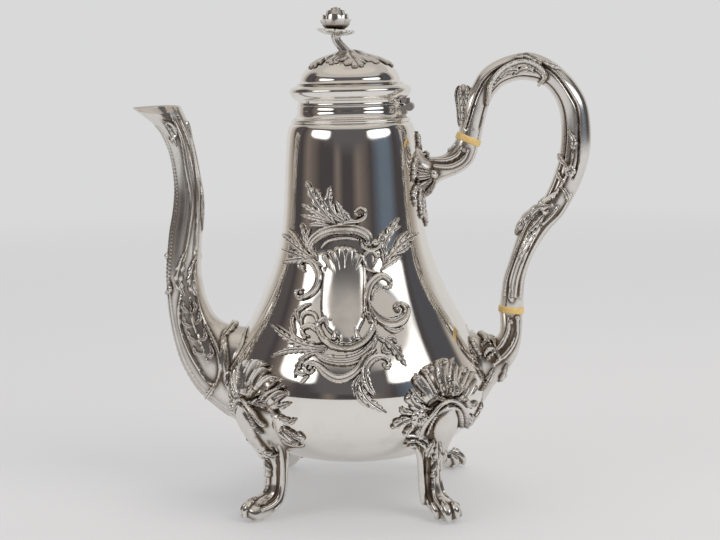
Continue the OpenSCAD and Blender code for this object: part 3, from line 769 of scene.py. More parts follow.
# %% The cartouche's ornament
cartouche_lines = [
    # the shield's smooth field and its frame
    ("field", 1.9, [
        (344, 264, 9), (344, 274, 10.6), (343, 290, 11), (343, 308, 11), (345, 324, 9.4), (348, 336, 5)
    ]),
    ("bead", 1.7, [(364, 262, 0.5), (365, 280, 0.9), (365, 300, 1.0), (364, 312, 0.6)]),
    ("bead", 1.2, [(324, 268, 0.4), (328, 285, 0.8), (327, 300, 0.8), (323, 312, 0.5)]),
    # crescent under the shield
    ("scroll", 2.2, [
        (328, 326, 0.7), (325, 319, 1.1), (319, 325, 1.3), (322, 337, 1.6), (334, 346, 1.9),
        (349, 348, 1.9), (362, 343, 1.8), (371, 333, 1.6), (374, 322, 1.4), (368, 314, 1.1),
        (362, 317, 0.7)
    ]),
    ("band", 1.5, [
        (315, 353, 0.6), (326, 359, 2.2), (345, 361, 2.7), (361, 356, 2.4), (373, 343, 1.6),
        (377, 332, 0.6)
    ]),
    # small tongues along the field's lower edge
    ("bead", 1.9, [(334, 338, 1.5), (336, 327, 0.4)]),
    ("bead", 1.9, [(342, 342, 1.5), (343, 330, 0.4)]),
    ("bead", 1.9, [(350, 342, 1.5), (349, 330, 0.4)]),
    ("bead", 1.9, [(358, 338, 1.5), (355, 327, 0.4)]),
    # arch
    ("band", 2.0, [
        (310, 249, 1.2), (313, 241, 2.1), (321, 234, 2.5), (332, 230, 2.6), (345, 229, 2.6),
        (357, 230, 2.6), (366, 235, 2.4), (369, 242, 1.9), (365, 245, 1.2)
    ]),
    ("bead", 2.2, [
        (361, 240, 0.6), (362, 246, 0.9), (368, 250, 1.1), (376, 249, 1.1), (381, 243, 0.9)
    ]),
    ("bead", 1.3, [(322, 248, 0.5), (329, 241, 0.8), (345, 238, 0.9), (358, 240, 0.7)]),
    # the scalloped upper edge of the shield
    ("bead", 1.9, [(325, 257, 1.7), (330, 266, 0.9), (334, 275, 0.3)]),
    ("bead", 2.0, [(331, 253, 1.8), (335, 263, 1.0), (337, 273, 0.3)]),
    ("bead", 2.1, [(338, 250, 1.9), (340, 261, 1.0), (341, 272, 0.3)]),
    ("bead", 2.1, [(346, 250, 1.9), (346, 261, 1.0), (345, 272, 0.3)]),
    ("bead", 2.0, [(354, 252, 1.8), (352, 263, 1.0), (350, 273, 0.3)]),
    ("bead", 1.9, [(361, 257, 1.7), (357, 266, 0.9), (354, 275, 0.3)]),
    # upper left frond
    ("leaf", 2.0, [(336, 224, 1.2), (324, 211, 3.1), (314, 196, 2.5), (307, 181, 0.3)]),
    ("leaf", 1.8, [(328, 219, 1.0), (315, 211, 1.9), (303, 204, 0.3)]),
    ("leaf", 1.7, [(330, 222, 1.0), (316, 218, 1.8), (302, 215, 0.3)]),
    ("leaf", 1.9, [(325, 210, 0.9), (321, 199, 1.6), (317, 189, 0.3)]),
    ("leaf", 1.6, [(330, 226, 0.9), (318, 224, 1.4), (309, 225, 0.3)]),
    # second frond and its curl
    ("leaf", 2.0, [(346, 223, 1.2), (334, 213, 3.0), (329, 200, 2.4), (331, 186, 0.3)]),
    ("leaf", 1.8, [(346, 222, 0.8), (341, 211, 1.6), (336, 200, 0.3)]),
    ("leaf", 1.7, [(352, 224, 0.8), (347, 216, 1.5), (340, 208, 0.3)]),
    ("bead", 2.3, [
        (338, 224, 0.5), (349, 222, 1.2), (358, 221, 1.2), (364, 217, 1.1), (365, 211, 0.9),
        (360, 208, 0.8), (355, 212, 0.7), (358, 216, 0.6), (361, 215, 0.5)
    ]),
    # left cluster
    ("leaf", 2.0, [(318, 259, 1.0), (309, 244, 2.0), (302, 223, 0.3)]),
    ("leaf", 1.7, [(312, 248, 0.8), (308, 238, 1.4), (311, 229, 0.3)]),
    ("leaf", 2.1, [(316, 260, 1.0), (298, 247, 2.3), (284, 234, 0.3)]),
    ("leaf", 1.9, [(305, 250, 0.9), (296, 238, 1.6), (290, 229, 0.3)]),
    ("leaf", 1.8, [(314, 260, 1.0), (298, 255, 1.8), (283, 249, 0.3)]),
    ("leaf", 1.9, [(316, 262, 1.0), (300, 259, 2.0), (283, 263, 0.3)]),
    ("leaf", 1.6, [(322, 266, 0.8), (312, 261, 1.6), (302, 261, 0.3)]),
    # right cluster
    ("leaf", 2.0, [(384, 264, 1.0), (383, 248, 2.4), (389, 233, 2.4), (398, 218, 0.3)]),
    ("leaf", 1.7, [(384, 250, 0.8), (380, 241, 1.5), (383, 231, 0.3)]),
    ("leaf", 2.1, [(383, 264, 1.0), (396, 248, 2.6), (407, 239, 2.2), (417, 233, 0.3)]),
    ("leaf", 1.8, [(393, 250, 0.8), (399, 240, 1.5), (408, 230, 0.3)]),
    ("leaf", 1.8, [(390, 256, 0.9), (402, 250, 1.6), (412, 242, 0.3)]),
    ("leaf", 1.8, [(381, 270, 1.0), (391, 262, 1.8), (401, 256, 0.3)]),
    ("leaf", 1.6, [(387, 240, 0.7), (392, 231, 1.2), (400, 226, 0.3)]),
    # loop and beads between arch and right cluster
    ("bead", 1.9, [
        (377, 273, 0.5), (368, 270, 0.9), (364, 262, 1.0), (366, 253, 1.0), (373, 252, 0.9),
        (376, 259, 0.8), (373, 266, 0.5)
    ]),
    ("knob", 2.6, [(375, 243, 1.9)]),
    ("knob", 2.3, [(378, 256, 1.2)]),
    ("knob", 2.2, [(331, 320, 1.0)]),
    # left C scroll
    ("scroll", 2.3, [
        (305, 271, 0.6), (301, 267, 1.0), (304, 261, 1.3), (312, 262, 1.7), (318, 271, 2.0),
        (319, 281, 2.1), (314, 291, 1.9), (306, 297, 1.5), (299, 298, 1.1), (298, 292, 0.8),
        (303, 290, 0.5)
    ]),
    ("knob", 2.3, [(304, 267, 1.0)]),
    ("knob", 2.1, [(302, 293, 0.9)]),
    # right inner scroll and large right C scroll
    ("scroll", 2.4, [
        (370, 322, 0.8), (367, 308, 1.5), (367, 294, 1.9), (371, 283, 2.0), (380, 276, 1.9),
        (388, 279, 1.5), (390, 286, 1.1), (384, 288, 0.6)
    ]),
    ("leaf", 1.8, [(372, 300, 0.7), (374, 292, 1.3), (381, 286, 0.3)]),
    ("scroll", 2.5, [
        (369, 303, 0.8), (374, 314, 1.6), (384, 322, 2.4), (395, 323, 2.8), (404, 317, 2.4),
        (406, 309, 1.8), (400, 304, 1.3), (395, 307, 1.0), (398, 312, 0.6)
    ]),
    ("knob", 2.4, [(398, 309, 1.0)]),
    ("leaf", 1.7, [(383, 326, 0.6), (393, 331, 1.3), (403, 329, 0.3)]),
    # left rocaille
    ("scroll", 2.1, [
        (309, 337, 0.6), (304, 335, 1.0), (303, 329, 1.3), (311, 326, 1.6), (319, 331, 1.7),
        (324, 340, 1.6), (332, 348, 0.8)
    ]),
    ("knob", 2.2, [(305, 338, 1.0)]),
    ("bead", 1.8, [
        (303, 328, 0.6), (302, 319, 0.9), (307, 313, 1.1), (315, 315, 1.1), (318, 323, 0.8)
    ]),
    ("leaf", 1.8, [(301, 325, 0.7), (298, 314, 1.4), (304, 307, 1.2), (311, 304, 0.4)]),
    ("leaf", 1.7, [(296, 333, 0.6), (293, 322, 1.3), (297, 309, 0.3)]),
    ("leaf", 1.6, [(303, 345, 0.7), (294, 336, 1.4), (291, 326, 0.3)]),
    # reed blades on the left
    ("leaf", 2.0, [(326, 349, 1.2), (306, 346, 2.3), (288, 338, 2.0), (271, 324, 0.2)]),
    ("bead", 1.5, [(322, 344, 0.4), (303, 341, 0.7), (288, 332, 0.7), (276, 324, 0.3)]),
    ("leaf", 1.9, [(324, 351, 1.0), (304, 350, 1.7), (288, 351, 1.6), (272, 357, 0.2)]),
    ("leaf", 1.9, [(320, 352, 1.0), (307, 356, 1.9), (299, 366, 1.8), (295, 378, 0.2)]),
    # S scroll at the bottom
    ("scroll", 2.3, [
        (314, 370, 0.6), (309, 373, 0.9), (305, 368, 1.2), (309, 363, 1.4), (318, 366, 1.7),
        (327, 374, 2.0), (338, 379, 2.1), (350, 376, 2.0), (359, 368, 1.8), (365, 358, 1.5),
        (375, 350, 0.7)
    ]),
    ("knob", 2.3, [(311, 368, 1.1)]),
    ("leaf", 1.7, [(308, 374, 0.7), (302, 374, 1.4), (296, 371, 0.3)]),
    ("leaf", 1.6, [(309, 376, 0.6), (305, 379, 1.1), (301, 383, 0.3)]),
    # C scroll and leafy tail at the bottom right
    ("scroll", 2.4, [
        (383, 364, 0.6), (387, 368, 0.9), (389, 362, 1.2), (383, 357, 1.5), (374, 358, 1.8),
        (367, 365, 2.1), (365, 376, 2.2), (368, 387, 1.9), (374, 395, 1.0)
    ]),
    ("knob", 2.4, [(384, 365, 1.1)]),
    ("leaf", 2.1, [
        (361, 376, 0.9), (361, 388, 2.2), (367, 399, 2.4), (376, 406, 1.7), (386, 412, 0.3)
    ]),
    ("leaf", 1.8, [(361, 374, 0.7), (355, 384, 1.5), (355, 395, 0.4)]),
    ("leaf", 1.7, [(357, 390, 0.7), (360, 399, 1.4), (369, 407, 0.3)]),
    # spray on the right
    ("leaf", 2.0, [(376, 337, 0.8), (386, 342, 2.0), (396, 352, 2.2), (406, 366, 0.3)]),
    ("leaf", 1.8, [(384, 341, 0.7), (391, 338, 1.4), (396, 343, 0.4)]),
    ("leaf", 1.7, [(382, 345, 0.7), (384, 351, 1.3), (391, 353, 0.3)]),
    ("leaf", 1.7, [(390, 347, 0.7), (398, 347, 1.3), (401, 354, 0.3)]),
]

# %% Cartouches
cartouche = relief_sheet(
    "cartouche_1", facing=-90, half_degrees=42, low=66, high=192, spacing=0.42
)
lines = traced(body_tree, cartouche_lines)
height = cut_out(cartouche, lines)
cartouche = with_leaves(cartouche, lines, body_tree)
cartouche_2 = copied(cartouche, "cartouche_2", 180)
print("cartouche", len(lines), "lines,", round(height.max(), 2), "mm high")

# %% [markdown]
# ## Spout
# The spout swings out low from the belly, rises as a slim reeded neck and ends in a beak. Its
# wall goes over the lip and down inside, so the beak is open.

# %% Spout
spout_wall, spout_reach = 1.3, 45.4
lip_z, lip_slant, lip_dip = neck_z + 9.2, 0.24, 0.8
lip_x, lip_length = -(belly_r + 33), 12
beak_pinch = 0.3
spout_pattern = [
    (-18, -21, -18, 31, 14.6), (-3.6, -18, -6.6, 32, 14.8), (8.4, -9.5, 0.4, 33.5, 14),
    (17, -1, 4, 35.5, 12.8), (24, 11.5, 7, 38.5, 11.6), (28, 25, 9.4, 43, 10.6),
    (30, 38, 11.4, 49, 9.8), (30.8, 50, 12.7, 57, 9.2), (30.8, 61, 13, 64, 8.8),
    (28.6, 80, 12, 80, 8.2), (26, 93, 10.8, 93, 7.6), (24.8, 105, 11, 103, 7.2),
    (26, 118.6, 12.8, 115, 7), (29.2, 129, 14.7, 126, 7.4), (34.6, 137, 16.9, 137, 8.2),
    (spout_reach + 0.7, 145.9, 21, 147, 9),
]
spout_rise, spout_pattern_h = 9.3, 145.3
spout_stretch = (neck_z + spout_rise - pattern_z) / spout_pattern_h


def spout_rows(inset):
    stations = []
    for front_x, front_z, rear_x, rear_z, half in spout_pattern:
        front = np.array([-belly_r - front_x, pattern_z + front_z * spout_stretch])
        rear = np.array([-belly_r - rear_x, pattern_z + rear_z * spout_stretch])
        across = inset * (front - rear) / np.linalg.norm(front - rear)
        stations.append((*(front - across), *(rear + across), half - inset))
    return loft_rows(stations, spacing=0.5)


def on_spout(rows, share, degrees):
    """The spout's surface: its section narrows to a beak towards the lip."""
    places = on_loft(rows, share, degrees)
    front = np.clip(np.cos(np.radians(degrees)), 0, 1)
    places[..., 1] *= 1 - beak_pinch * front * np.clip((share - 0.8) / 0.2, 0, 1)
    return places


def lip_shares(rows, degrees):
    """Where each line along the spout meets the lip, which dips and slants a little."""
    share = np.linspace(0.7, 1, 400)[:, None]
    places = on_spout(rows, share, degrees)
    x, y, z = np.moveaxis(places, 2, 0)
    rim = lip_z + lip_slant * y - lip_dip * (1 - ((x - lip_x) / lip_length) ** 2)
    cut = z > rim
    return np.where(cut.any(0), share[cut.argmax(0), 0], 1)


spout_outside, spout_inside = spout_rows(0), spout_rows(spout_wall)
degrees = np.linspace(0, 360, 145)
rise = np.linspace(0, 1, len(spout_outside))[:, None]
outside = on_spout(spout_outside, rise * lip_shares(spout_outside, degrees), degrees)
inside = on_spout(spout_inside, rise[::2] * lip_shares(spout_inside, degrees), degrees)[::-1]
places = np.concatenate([outside, inside, outside[:1]])
places = kept_off_body(places.reshape(-1, 3)).reshape(places.shape)
spout = formed("cast_spout", places)

spout_lines = [
    # reeds down the back of the neck
    ("bead", 0.9, [
        (172, 116, 0.6), (182, 140, 1.0), (187, 168, 1.1), (192, 200, 1.1), (189, 231, 1.0),
        (184, 258, 0.6)
    ]),
    ("bead", 0.9, [
        (178, 116, 0.6), (189, 142, 1.0), (195, 168, 1.1), (198, 204, 1.1), (196, 249, 0.7)
    ]),
    ("bead", 0.7, [(186, 122, 0.5), (196, 150, 0.8), (201, 185, 0.9), (202, 230, 0.7)]),
    # scrolls under the beak
    ("scroll", 1.4, [(166, 122, 0.6), (172, 126, 1.1), (175, 134, 1.2), (171, 140, 0.9)]),
    ("leaf", 1.4, [(163, 120, 0.5), (170, 131, 1.6), (177, 146, 0.4)]),
    # knobs and acanthus where the neck meets the foot of the spout
    ("knob", 2.0, [(168, 256, 1.9)]),
    ("leaf", 1.8, [(187, 250, 0.5), (182, 262, 2.6), (179, 280, 2.8), (184, 294, 0.5)]),
    ("leaf", 1.8, [(196, 254, 0.5), (192, 268, 2.6), (191, 284, 2.4), (196, 296, 0.5)]),
    ("scroll", 1.8, [(163, 284, 0.7), (166, 292, 1.2), (171, 290, 1.1), (170, 282, 0.6)]),
    # the inset panel's double border
    ("bead", 1.2, [
        (181, 293, 0.5), (179, 310, 0.8), (181, 328, 0.9), (188, 348, 1.0), (197, 365, 1.0),
        (206, 379, 0.9), (215, 385, 0.7)
    ]),
    ("bead", 1.2, [
        (196, 292, 0.5), (199, 308, 0.8), (207, 328, 0.9), (214, 342, 1.0), (219, 356, 1.0),
        (220, 372, 0.9), (215, 385, 0.6)
    ]),
    # a laurel spray on the panel
    ("bead", 0.9, [(190, 298, 0.4), (192, 318, 0.6), (200, 342, 0.6), (208, 362, 0.4)]),
    ("leaf", 1.5, [(189, 312, 0.4), (184, 308, 1.3), (183, 302, 0.3)]),
    ("leaf", 1.5, [(192, 314, 0.4), (195, 308, 1.3), (193, 301, 0.3)]),
    ("leaf", 1.5, [(192, 326, 0.4), (186, 324, 1.4), (184, 316, 0.3)]),
    ("leaf", 1.5, [(194, 325, 0.4), (199, 320, 1.4), (198, 312, 0.3)]),
    ("leaf", 1.5, [(197, 340, 0.4), (191, 338, 1.4), (188, 330, 0.3)]),
    ("leaf", 1.5, [(199, 340, 0.4), (205, 338, 1.3), (204, 328, 0.3)]),
    ("leaf", 1.5, [(203, 354, 0.4), (197, 353, 1.3), (193, 346, 0.3)]),
    ("leaf", 1.5, [(206, 356, 0.4), (212, 354, 1.3), (210, 344, 0.3)]),
    # a spur towards the body and the ridged moulding at the joint
    ("leaf", 2.6, [(222, 338, 1.2), (231, 328, 2.2), (242, 317, 0.4)]),
    ("band", 1.8, [(224, 334, 1.2), (224, 350, 2.0), (226, 372, 2.2), (235, 412, 1.2)]),
    ("leaf", 1.6, [(216, 384, 0.6), (211, 391, 1.8), (206, 398, 0.4)]),
]
spout_reeds = [
    ("bead", 0.6, [(0.1, 42, 0.7), (0.5, 42, 0.9), (0.92, 42, 0.5)]),
    ("bead", 0.6, [(0.1, 20, 0.6), (0.5, 20, 0.8), (0.92, 20, 0.4)]),
]
spout_tree = tree_of(spout)
lines = traced(spout_tree, spout_lines, mirrored=True)
lines += along_loft(spout_outside, spout_reeds)
raised(spout, lines)
spout = with_leaves(spout, lines, spout_tree)
print("spout", len(lines), "lines")

# %% [markdown]
# ## Handle
# Silver carries heat, so the handle is in three castings with a ring of ivory between them:
# the grip, and a socket at each end. Ribs run along the grip, and acanthus wraps its bends.

# %% Handle
ring_r, ring_h = 6.6, 3.4
upper_tilt, lower_tilt = 23.4, 6.2
upper_ring = np.array([belly_r - 7.5, neck_z - 9.6])
lower_ring = np.array([belly_r + 13.3, pattern_z + 39.5])
grip_pattern_h = 86.9
grip_stretch = (upper_ring[1] - lower_ring[1]) / grip_pattern_h
grip_half_w, grip_step = 6.2, 0.45
ring_seat = ring_h / 2 + 0.02
grip_pattern = [
    (-11.2, 96.7, 0.2, 93.1, 0.95), (-10.4, 101.6, 1.8, 99.3, 0.97),
    (-8.4, 108.3, 3.5, 104.8, 0.98), (-5.2, 114, 6.1, 109.2, 1), (-1.3, 120.3, 10.1, 113.1, 1),
    (4.9, 124.9, 14.6, 115, 1.02), (13.7, 128.3, 19.6, 115.9, 1.02),
    (22.9, 129.5, 24.5, 115.2, 1.02), (30.9, 127.1, 28.5, 113.9, 1.03),
    (38.4, 122.3, 32.4, 111.1, 1.05), (45.6, 115, 35.9, 106.1, 1.05),
    (51.2, 105.3, 37.9, 100.6, 1.05), (53.4, 94.5, 38.8, 93.5, 1.05),
    (53.6, 82.8, 38.7, 85.5, 1.05), (51.7, 73, 37.6, 76.5, 1.05), (49, 65, 35.4, 69, 1.03),
    (45.2, 57, 32.2, 61, 1.03), (39.9, 48, 27.2, 52.5, 1.02), (33.4, 41, 19.9, 45.5, 1),
    (28.1, 33.7, 16.1, 36.5, 0.98), (23.4, 25, 12.7, 26.3, 0.97),
    (20.4, 14.5, 9.2, 15.5, 0.95),
]


def ring_station(centre, tilt, along):
    """A flat section across a ring's axis, at some distance along it."""
    angle = math.radians(tilt)
    middle = centre + along * np.array([math.sin(angle), math.cos(angle)])
    across = (ring_r - 0.6) * np.array([-math.cos(angle), math.sin(angle)])
    return (*(middle + across), *(middle - across), ring_r - 0.8)


def swapped(station):
    return (*station[2:4], *station[:2], station[4])


grip_rows = loft_rows(
    [ring_station(upper_ring, upper_tilt, ring_seat)]
    + [
        (belly_r + x, lower_ring[1] + z * grip_stretch, belly_r + inner_x,
         lower_ring[1] + inner_z * grip_stretch, share * grip_half_w)
        for x, z, inner_x, inner_z, share in grip_pattern
    ]
    + [swapped(ring_station(lower_ring, lower_tilt, ring_seat))], spacing=grip_step
)
grip = cast_piece("cast_grip", grip_rows, around=104)
grip_lines = [
    # the scroll inside the upper bend, and its leaves
    ("scroll", 2.2, [
        (486, 104, 0.8), (491, 84, 1.5), (504, 70, 1.9), (522, 63, 2.0), (537, 67, 1.8),
        (545, 76, 1.4), (540, 83, 0.8)
    ]),
    ("leaf", 1.9, [(498, 78, 0.8), (508, 71, 2.2), (520, 70, 0.6)]),
    ("leaf", 1.9, [(512, 75, 0.8), (524, 69, 2.2), (534, 72, 0.6)]),
    ("leaf", 2.4, [(514, 59, 0.8), (527, 57, 2.2), (541, 64, 0.6)]),
    ("leaf", 1.8, [(541, 62, 0.7), (550, 65, 1.7), (560, 70, 0.4)]),
    # the groove between the outer moulding and the inner band
    ("groove", -1.1, [
        (466, 128, 0.9), (478, 91, 1.1), (491, 73, 1.2), (511, 63, 1.2), (537, 63, 1.2),
        (555, 73, 1.2), (570, 94, 1.2), (578, 111, 1.2), (579, 137, 1.2), (578, 162, 1.1),
        (573, 178, 0.8)
    ]),
    # a spray of flowers on the outer bend
    ("leaf", 1.9, [(570, 132, 0.6), (574, 140, 1.8), (573, 149, 0.7)]),
    ("bead", 1.5, [(573, 146, 0.6), (571, 164, 0.7), (562, 184, 0.7), (553, 198, 0.6)]),
    ("rose", 2.6, [(570, 171, 3.0)]),
    ("leaf", 2.0, [(568, 166, 0.6), (563, 161, 1.6), (561, 155, 0.4)]),
    ("leaf", 2.0, [(564, 182, 0.6), (560, 177, 1.5), (559, 171, 0.4)]),
    ("leaf", 2.0, [(561, 187, 0.6), (566, 193, 1.8), (567, 201, 0.4)]),
    ("scroll", 2.0, [(557, 192, 0.6), (549, 199, 1.2), (542, 206, 1.4), (544, 213, 0.8)]),
    ("knob", 2.6, [(562, 217, 2.4)]),
    # acanthus round the lower bend
    ("leaf", 2.5, [(552, 205, 1.0), (538, 210, 3.2), (526, 220, 3.0), (517, 235, 0.5)]),
    ("leaf", 2.0, [(545, 214, 0.8), (538, 222, 2.2), (529, 232, 0.5)]),
    # the rope-like rib down to the lower ring
    ("band", 1.6, [
        (541, 224, 1.0), (529, 242, 1.7), (519, 262, 1.8), (513, 282, 1.7), (512, 300, 1.2)
    ]),
    ("knob", 1.6, [(511, 298, 1.3)]),
]
grip_ribs = [
    ("groove", -0.9, [(0.03, 134, 0.9), (0.4, 138, 1.1), (0.76, 134, 0.9)]),
    ("bead", 0.9, [(0.66, 50, 0.7), (0.8, 50, 1.2), (0.97, 50, 0.8)]),
    ("bead", 0.9, [(0.7, 78, 0.7), (0.84, 78, 1.2), (0.97, 78, 0.8)]),
    ("bead", 0.9, [(0.72, 106, 0.7), (0.84, 106, 1.2), (0.97, 106, 0.8)]),
    ("bead", 0.8, [(0.72, 134, 0.6), (0.84, 134, 1.0), (0.97, 134, 0.7)]),
]
grip_tree = tree_of(grip)
lines = traced(grip_tree, grip_lines, mirrored=True) + along_loft(grip_rows, grip_ribs)
raised(grip, lines)
bud_x = upper_ring[0] - 2.2
round_degrees = (0, 60, 120, 179)
bud_rows = [(4, 2), (10, 2.4), (15, 2.7), (19, 3.2), (22.5, 3.5), (25.6, 2.7), (27.6, 0.8)]
bud_loft = loft_rows([
    (bud_x - r, upper_ring[1] + z, bud_x + r, upper_ring[1] + z, r) for z, r in bud_rows
], 0.4)
bud = cast_piece("bud", bud_loft, around=48)
bud_lines = [
    ("leaf", 1.1, [(0.1, angle, 1), (0.5, angle, 2.1), (0.95, angle, 0.5)])
    for angle in round_degrees
]
bud_tree = tree_of(bud)
on_bud = along_loft(bud_loft, bud_lines)
raised(bud, on_bud)
bud = with_leaves(bud, on_bud, bud_tree)
grip = with_leaves(joined("cast_grip", grip, bud), lines, grip_tree)
print("grip", len(lines), "lines,", round((len(grip_rows) - 1) * grip_step), "mm long")

# %% Sockets
neck_line_r = neck_r + 1.6
upper_socket_rows = loft_rows(
    [swapped(ring_station(upper_ring, upper_tilt, -ring_seat))]
    + [
        (upper_ring[0] + x, upper_ring[1] + z, upper_ring[0] + inner_x,
         upper_ring[1] + inner_z, half)
        for x, z, inner_x, inner_z, half in [
            (4, -7.6, -8.6, -4.2, 5.8), (1.2, -12.8, -12.6, -7.4, 5.9),
            (-4.6, -17, -17.6, -8.4, 6.3)
        ]
    ]
    + [
        (neck_line_r + 10.6, neck_z - 30.5, neck_line_r + 3, neck_z - 17, 7.2),
        (neck_line_r + 3.4, neck_z - 36, neck_line_r - 0.6, neck_z - 12.5, 8.8),
        (neck_line_r - 6, neck_z - 38, neck_line_r - 6, neck_z - 11, 9.6),
    ], spacing=0.5
)
lower_socket_rows = loft_rows(
    [swapped(ring_station(lower_ring, lower_tilt, -ring_seat))]
    + [
        (belly_r + x, pattern_z + z, belly_r + inner_x, pattern_z + inner_z, half)
        for x, z, inner_x, inner_z, half in [
            (18.9, 30, 7.6, 32, 5.8), (18, 22, 7, 27.4, 6.1), (16, 15.2, 4.6, 25, 6.8),
            (11.4, 8, 0.6, 24.5, 7.8), (4.4, 0, -4, 27, 9.2), (-3.6, -11, -9, 29, 10.4),
            (-14.6, -11, -14.6, 29, 11)
        ]
    ], spacing=0.5
)


def socket(name, rows, plate_z, drawn, leaves):
    """A casting and the leaves that spread from it on the body, joined into one piece."""
    casting = cast_piece(name + "_casting", rows, around=90)
    plate = relief_sheet(name + "_plate", 0, plate_half_degrees, *plate_z, plate_step)
    tree = tree_of(casting, body)
    lines = traced(tree, drawn, mirrored=True) + laid(leaves)
    raised(casting, lines)
    cut_out(plate, lines)
    return with_leaves(joined(name, casting, plate), lines, tree)


upper_socket_lines = [
    ("bead", 1.4, [(468, 150, 0.7), (462, 160, 1.1), (450, 166, 1.2), (434, 166, 0.9)]),
    ("bead", 1.3, [(462, 147, 0.6), (457, 155, 1.0), (446, 160, 1.1), (430, 160, 0.8)]),
    ("bead", 1.2, [(456, 144, 0.5), (450, 150, 0.9), (438, 154, 1.0), (424, 155, 0.7)]),
    ("knob", 2.2, [(434, 174, 2.2)]),
    ("flute", 2.2, [(431, 172, 0.7), (421, 170, 1.9), (412, 166, 0.8)]),
    ("flute", 2.2, [(431, 175, 0.7), (421, 176, 1.9), (412, 176, 0.8)]),
    ("flute", 2.2, [(431, 178, 0.7), (422, 184, 1.9), (414, 187, 0.8)]),
    ("flute", 2.2, [(434, 180, 0.7), (428, 190, 1.9), (421, 196, 0.8)]),
    ("leaf", 2.2, [(428, 158, 0.8), (421, 147, 2.2), (418, 134, 0.4)]),
    ("leaf", 2.2, [(424, 190, 0.9), (420, 204, 2.4), (426, 227, 0.4)]),
    ("leaf", 2.0, [(418, 182, 0.9), (413, 192, 2.0), (414, 206, 0.4)]),
]
upper_leaves = [
    ("leaf", 2.5, [(0, 171, 2.2), (0, 179, 2.9), (0, 187.5, 0.4)]),
    ("leaf", 2.0, [(12, 176, 1.4), (20, 172, 2.6), (27, 164, 0.6)]),
    ("leaf", 2.2, [(0, 160, 2.2), (0, 150, 3.4), (0, 140, 0.6)]),
    ("leaf", 1.9, [(10, 162, 1.4), (15, 154, 2.2), (16, 145, 0.5)]),
]
upper_socket = socket(
    "cast_upper_socket", upper_socket_rows, (136, 189), upper_socket_lines, upper_leaves
)
lower_socket_lines = [
    ("bead", 1.4, [(517, 318, 0.7), (516, 336, 1.1), (508, 352, 1.2), (494, 364, 0.9)]),
    ("bead", 1.3, [(509, 317, 0.6), (508, 332, 1.0), (500, 346, 1.1), (488, 358, 0.8)]),
    ("leaf", 2.6, [(490, 344, 1.4), (482, 336, 2.4), (474, 326, 0.4)]),
    ("scroll", 2.0, [(481, 346, 0.6), (487, 340, 1.2), (494, 341, 1.2), (495, 347, 0.7)]),
    ("scroll", 2.2, [(484, 356, 0.6), (488, 350, 1.2), (495, 351, 1.4), (499, 358, 1.0)]),
    ("leaf", 2.4, [(506, 362, 0.9), (502, 376, 2.6), (492, 394, 1.8), (477, 413, 0.4)]),
    ("leaf", 2.2, [(494, 366, 0.9), (488, 378, 2.2), (480, 390, 0.4)]),
    ("knob", 1.8, [(517, 318, 1.4)]),
    ("knob", 1.6, [(511, 322, 1.2)]),
]
lower_leaves = [
    ("leaf", 2.0, [(7, 73, 1.6), (10, 78, 2.4), (12, 83, 0.5)]),
    ("leaf", 2.2, [(6, 50, 1.8), (9, 43, 2.6), (10, 38, 0.5)]),
]
lower_socket = socket(
    "cast_lower_socket", lower_socket_rows, (37, 97), lower_socket_lines, lower_leaves
)

# %% [markdown]
# ## Feet
# Each foot is one casting: a leg that leans out from the body and turns up in a toe, under a
# mount of shell and leaves. It is modelled at the front right and copied to the other corners.

# %% Feet
foot_circle_r, foot_pad_r, pad_h = 66.8, 3.2, 1.4
ankle_share, ankle_half_w, knee_half_w = 0.52, 6.2, 12
foot_pattern_h = 57
foot_stretch = pattern_z / foot_pattern_h
foot_turn, mount_z = -45, (38, 82)
foot_pattern = [
    (1.4, 66, -9, 64, 0.8), (3.6, 58, -9, 56, 1), (3.6, 50.5, -9, 47, 1),
    (0.6, 43, -15, 39, 0.86), (-4.4, 36, -19, 34.6, 0.68), (-8, 29, -18.4, 28.6, 0.56),
    (-9.2, 22.5, -17, 22, 0.52), (-9, 16, -16, 14.8, 0.51), (-6.6, 11.4, -13.8, 7.6, 0.51),
    (-1.8, 9.7, -9.4, 2.9, 0.52), (3, 9, -4.4, 0.7, 0.52), (6, 6.6, 0.4, 0.3, 0.46),
    (6.4, 3.4, 3, 0.8, 0.36),
]
leg_rows = loft_rows([
    (foot_circle_r + x, z * foot_stretch, foot_circle_r + inner_x, inner_z * foot_stretch,
     ankle_half_w + (knee_half_w - ankle_half_w) * (share - ankle_share) / (1 - ankle_share))
    for x, z, inner_x, inner_z, share in foot_pattern
], spacing=0.45)
leg = cast_piece("leg", leg_rows, around=96)
set_points(leg, rotated(points_of(leg), foot_turn))
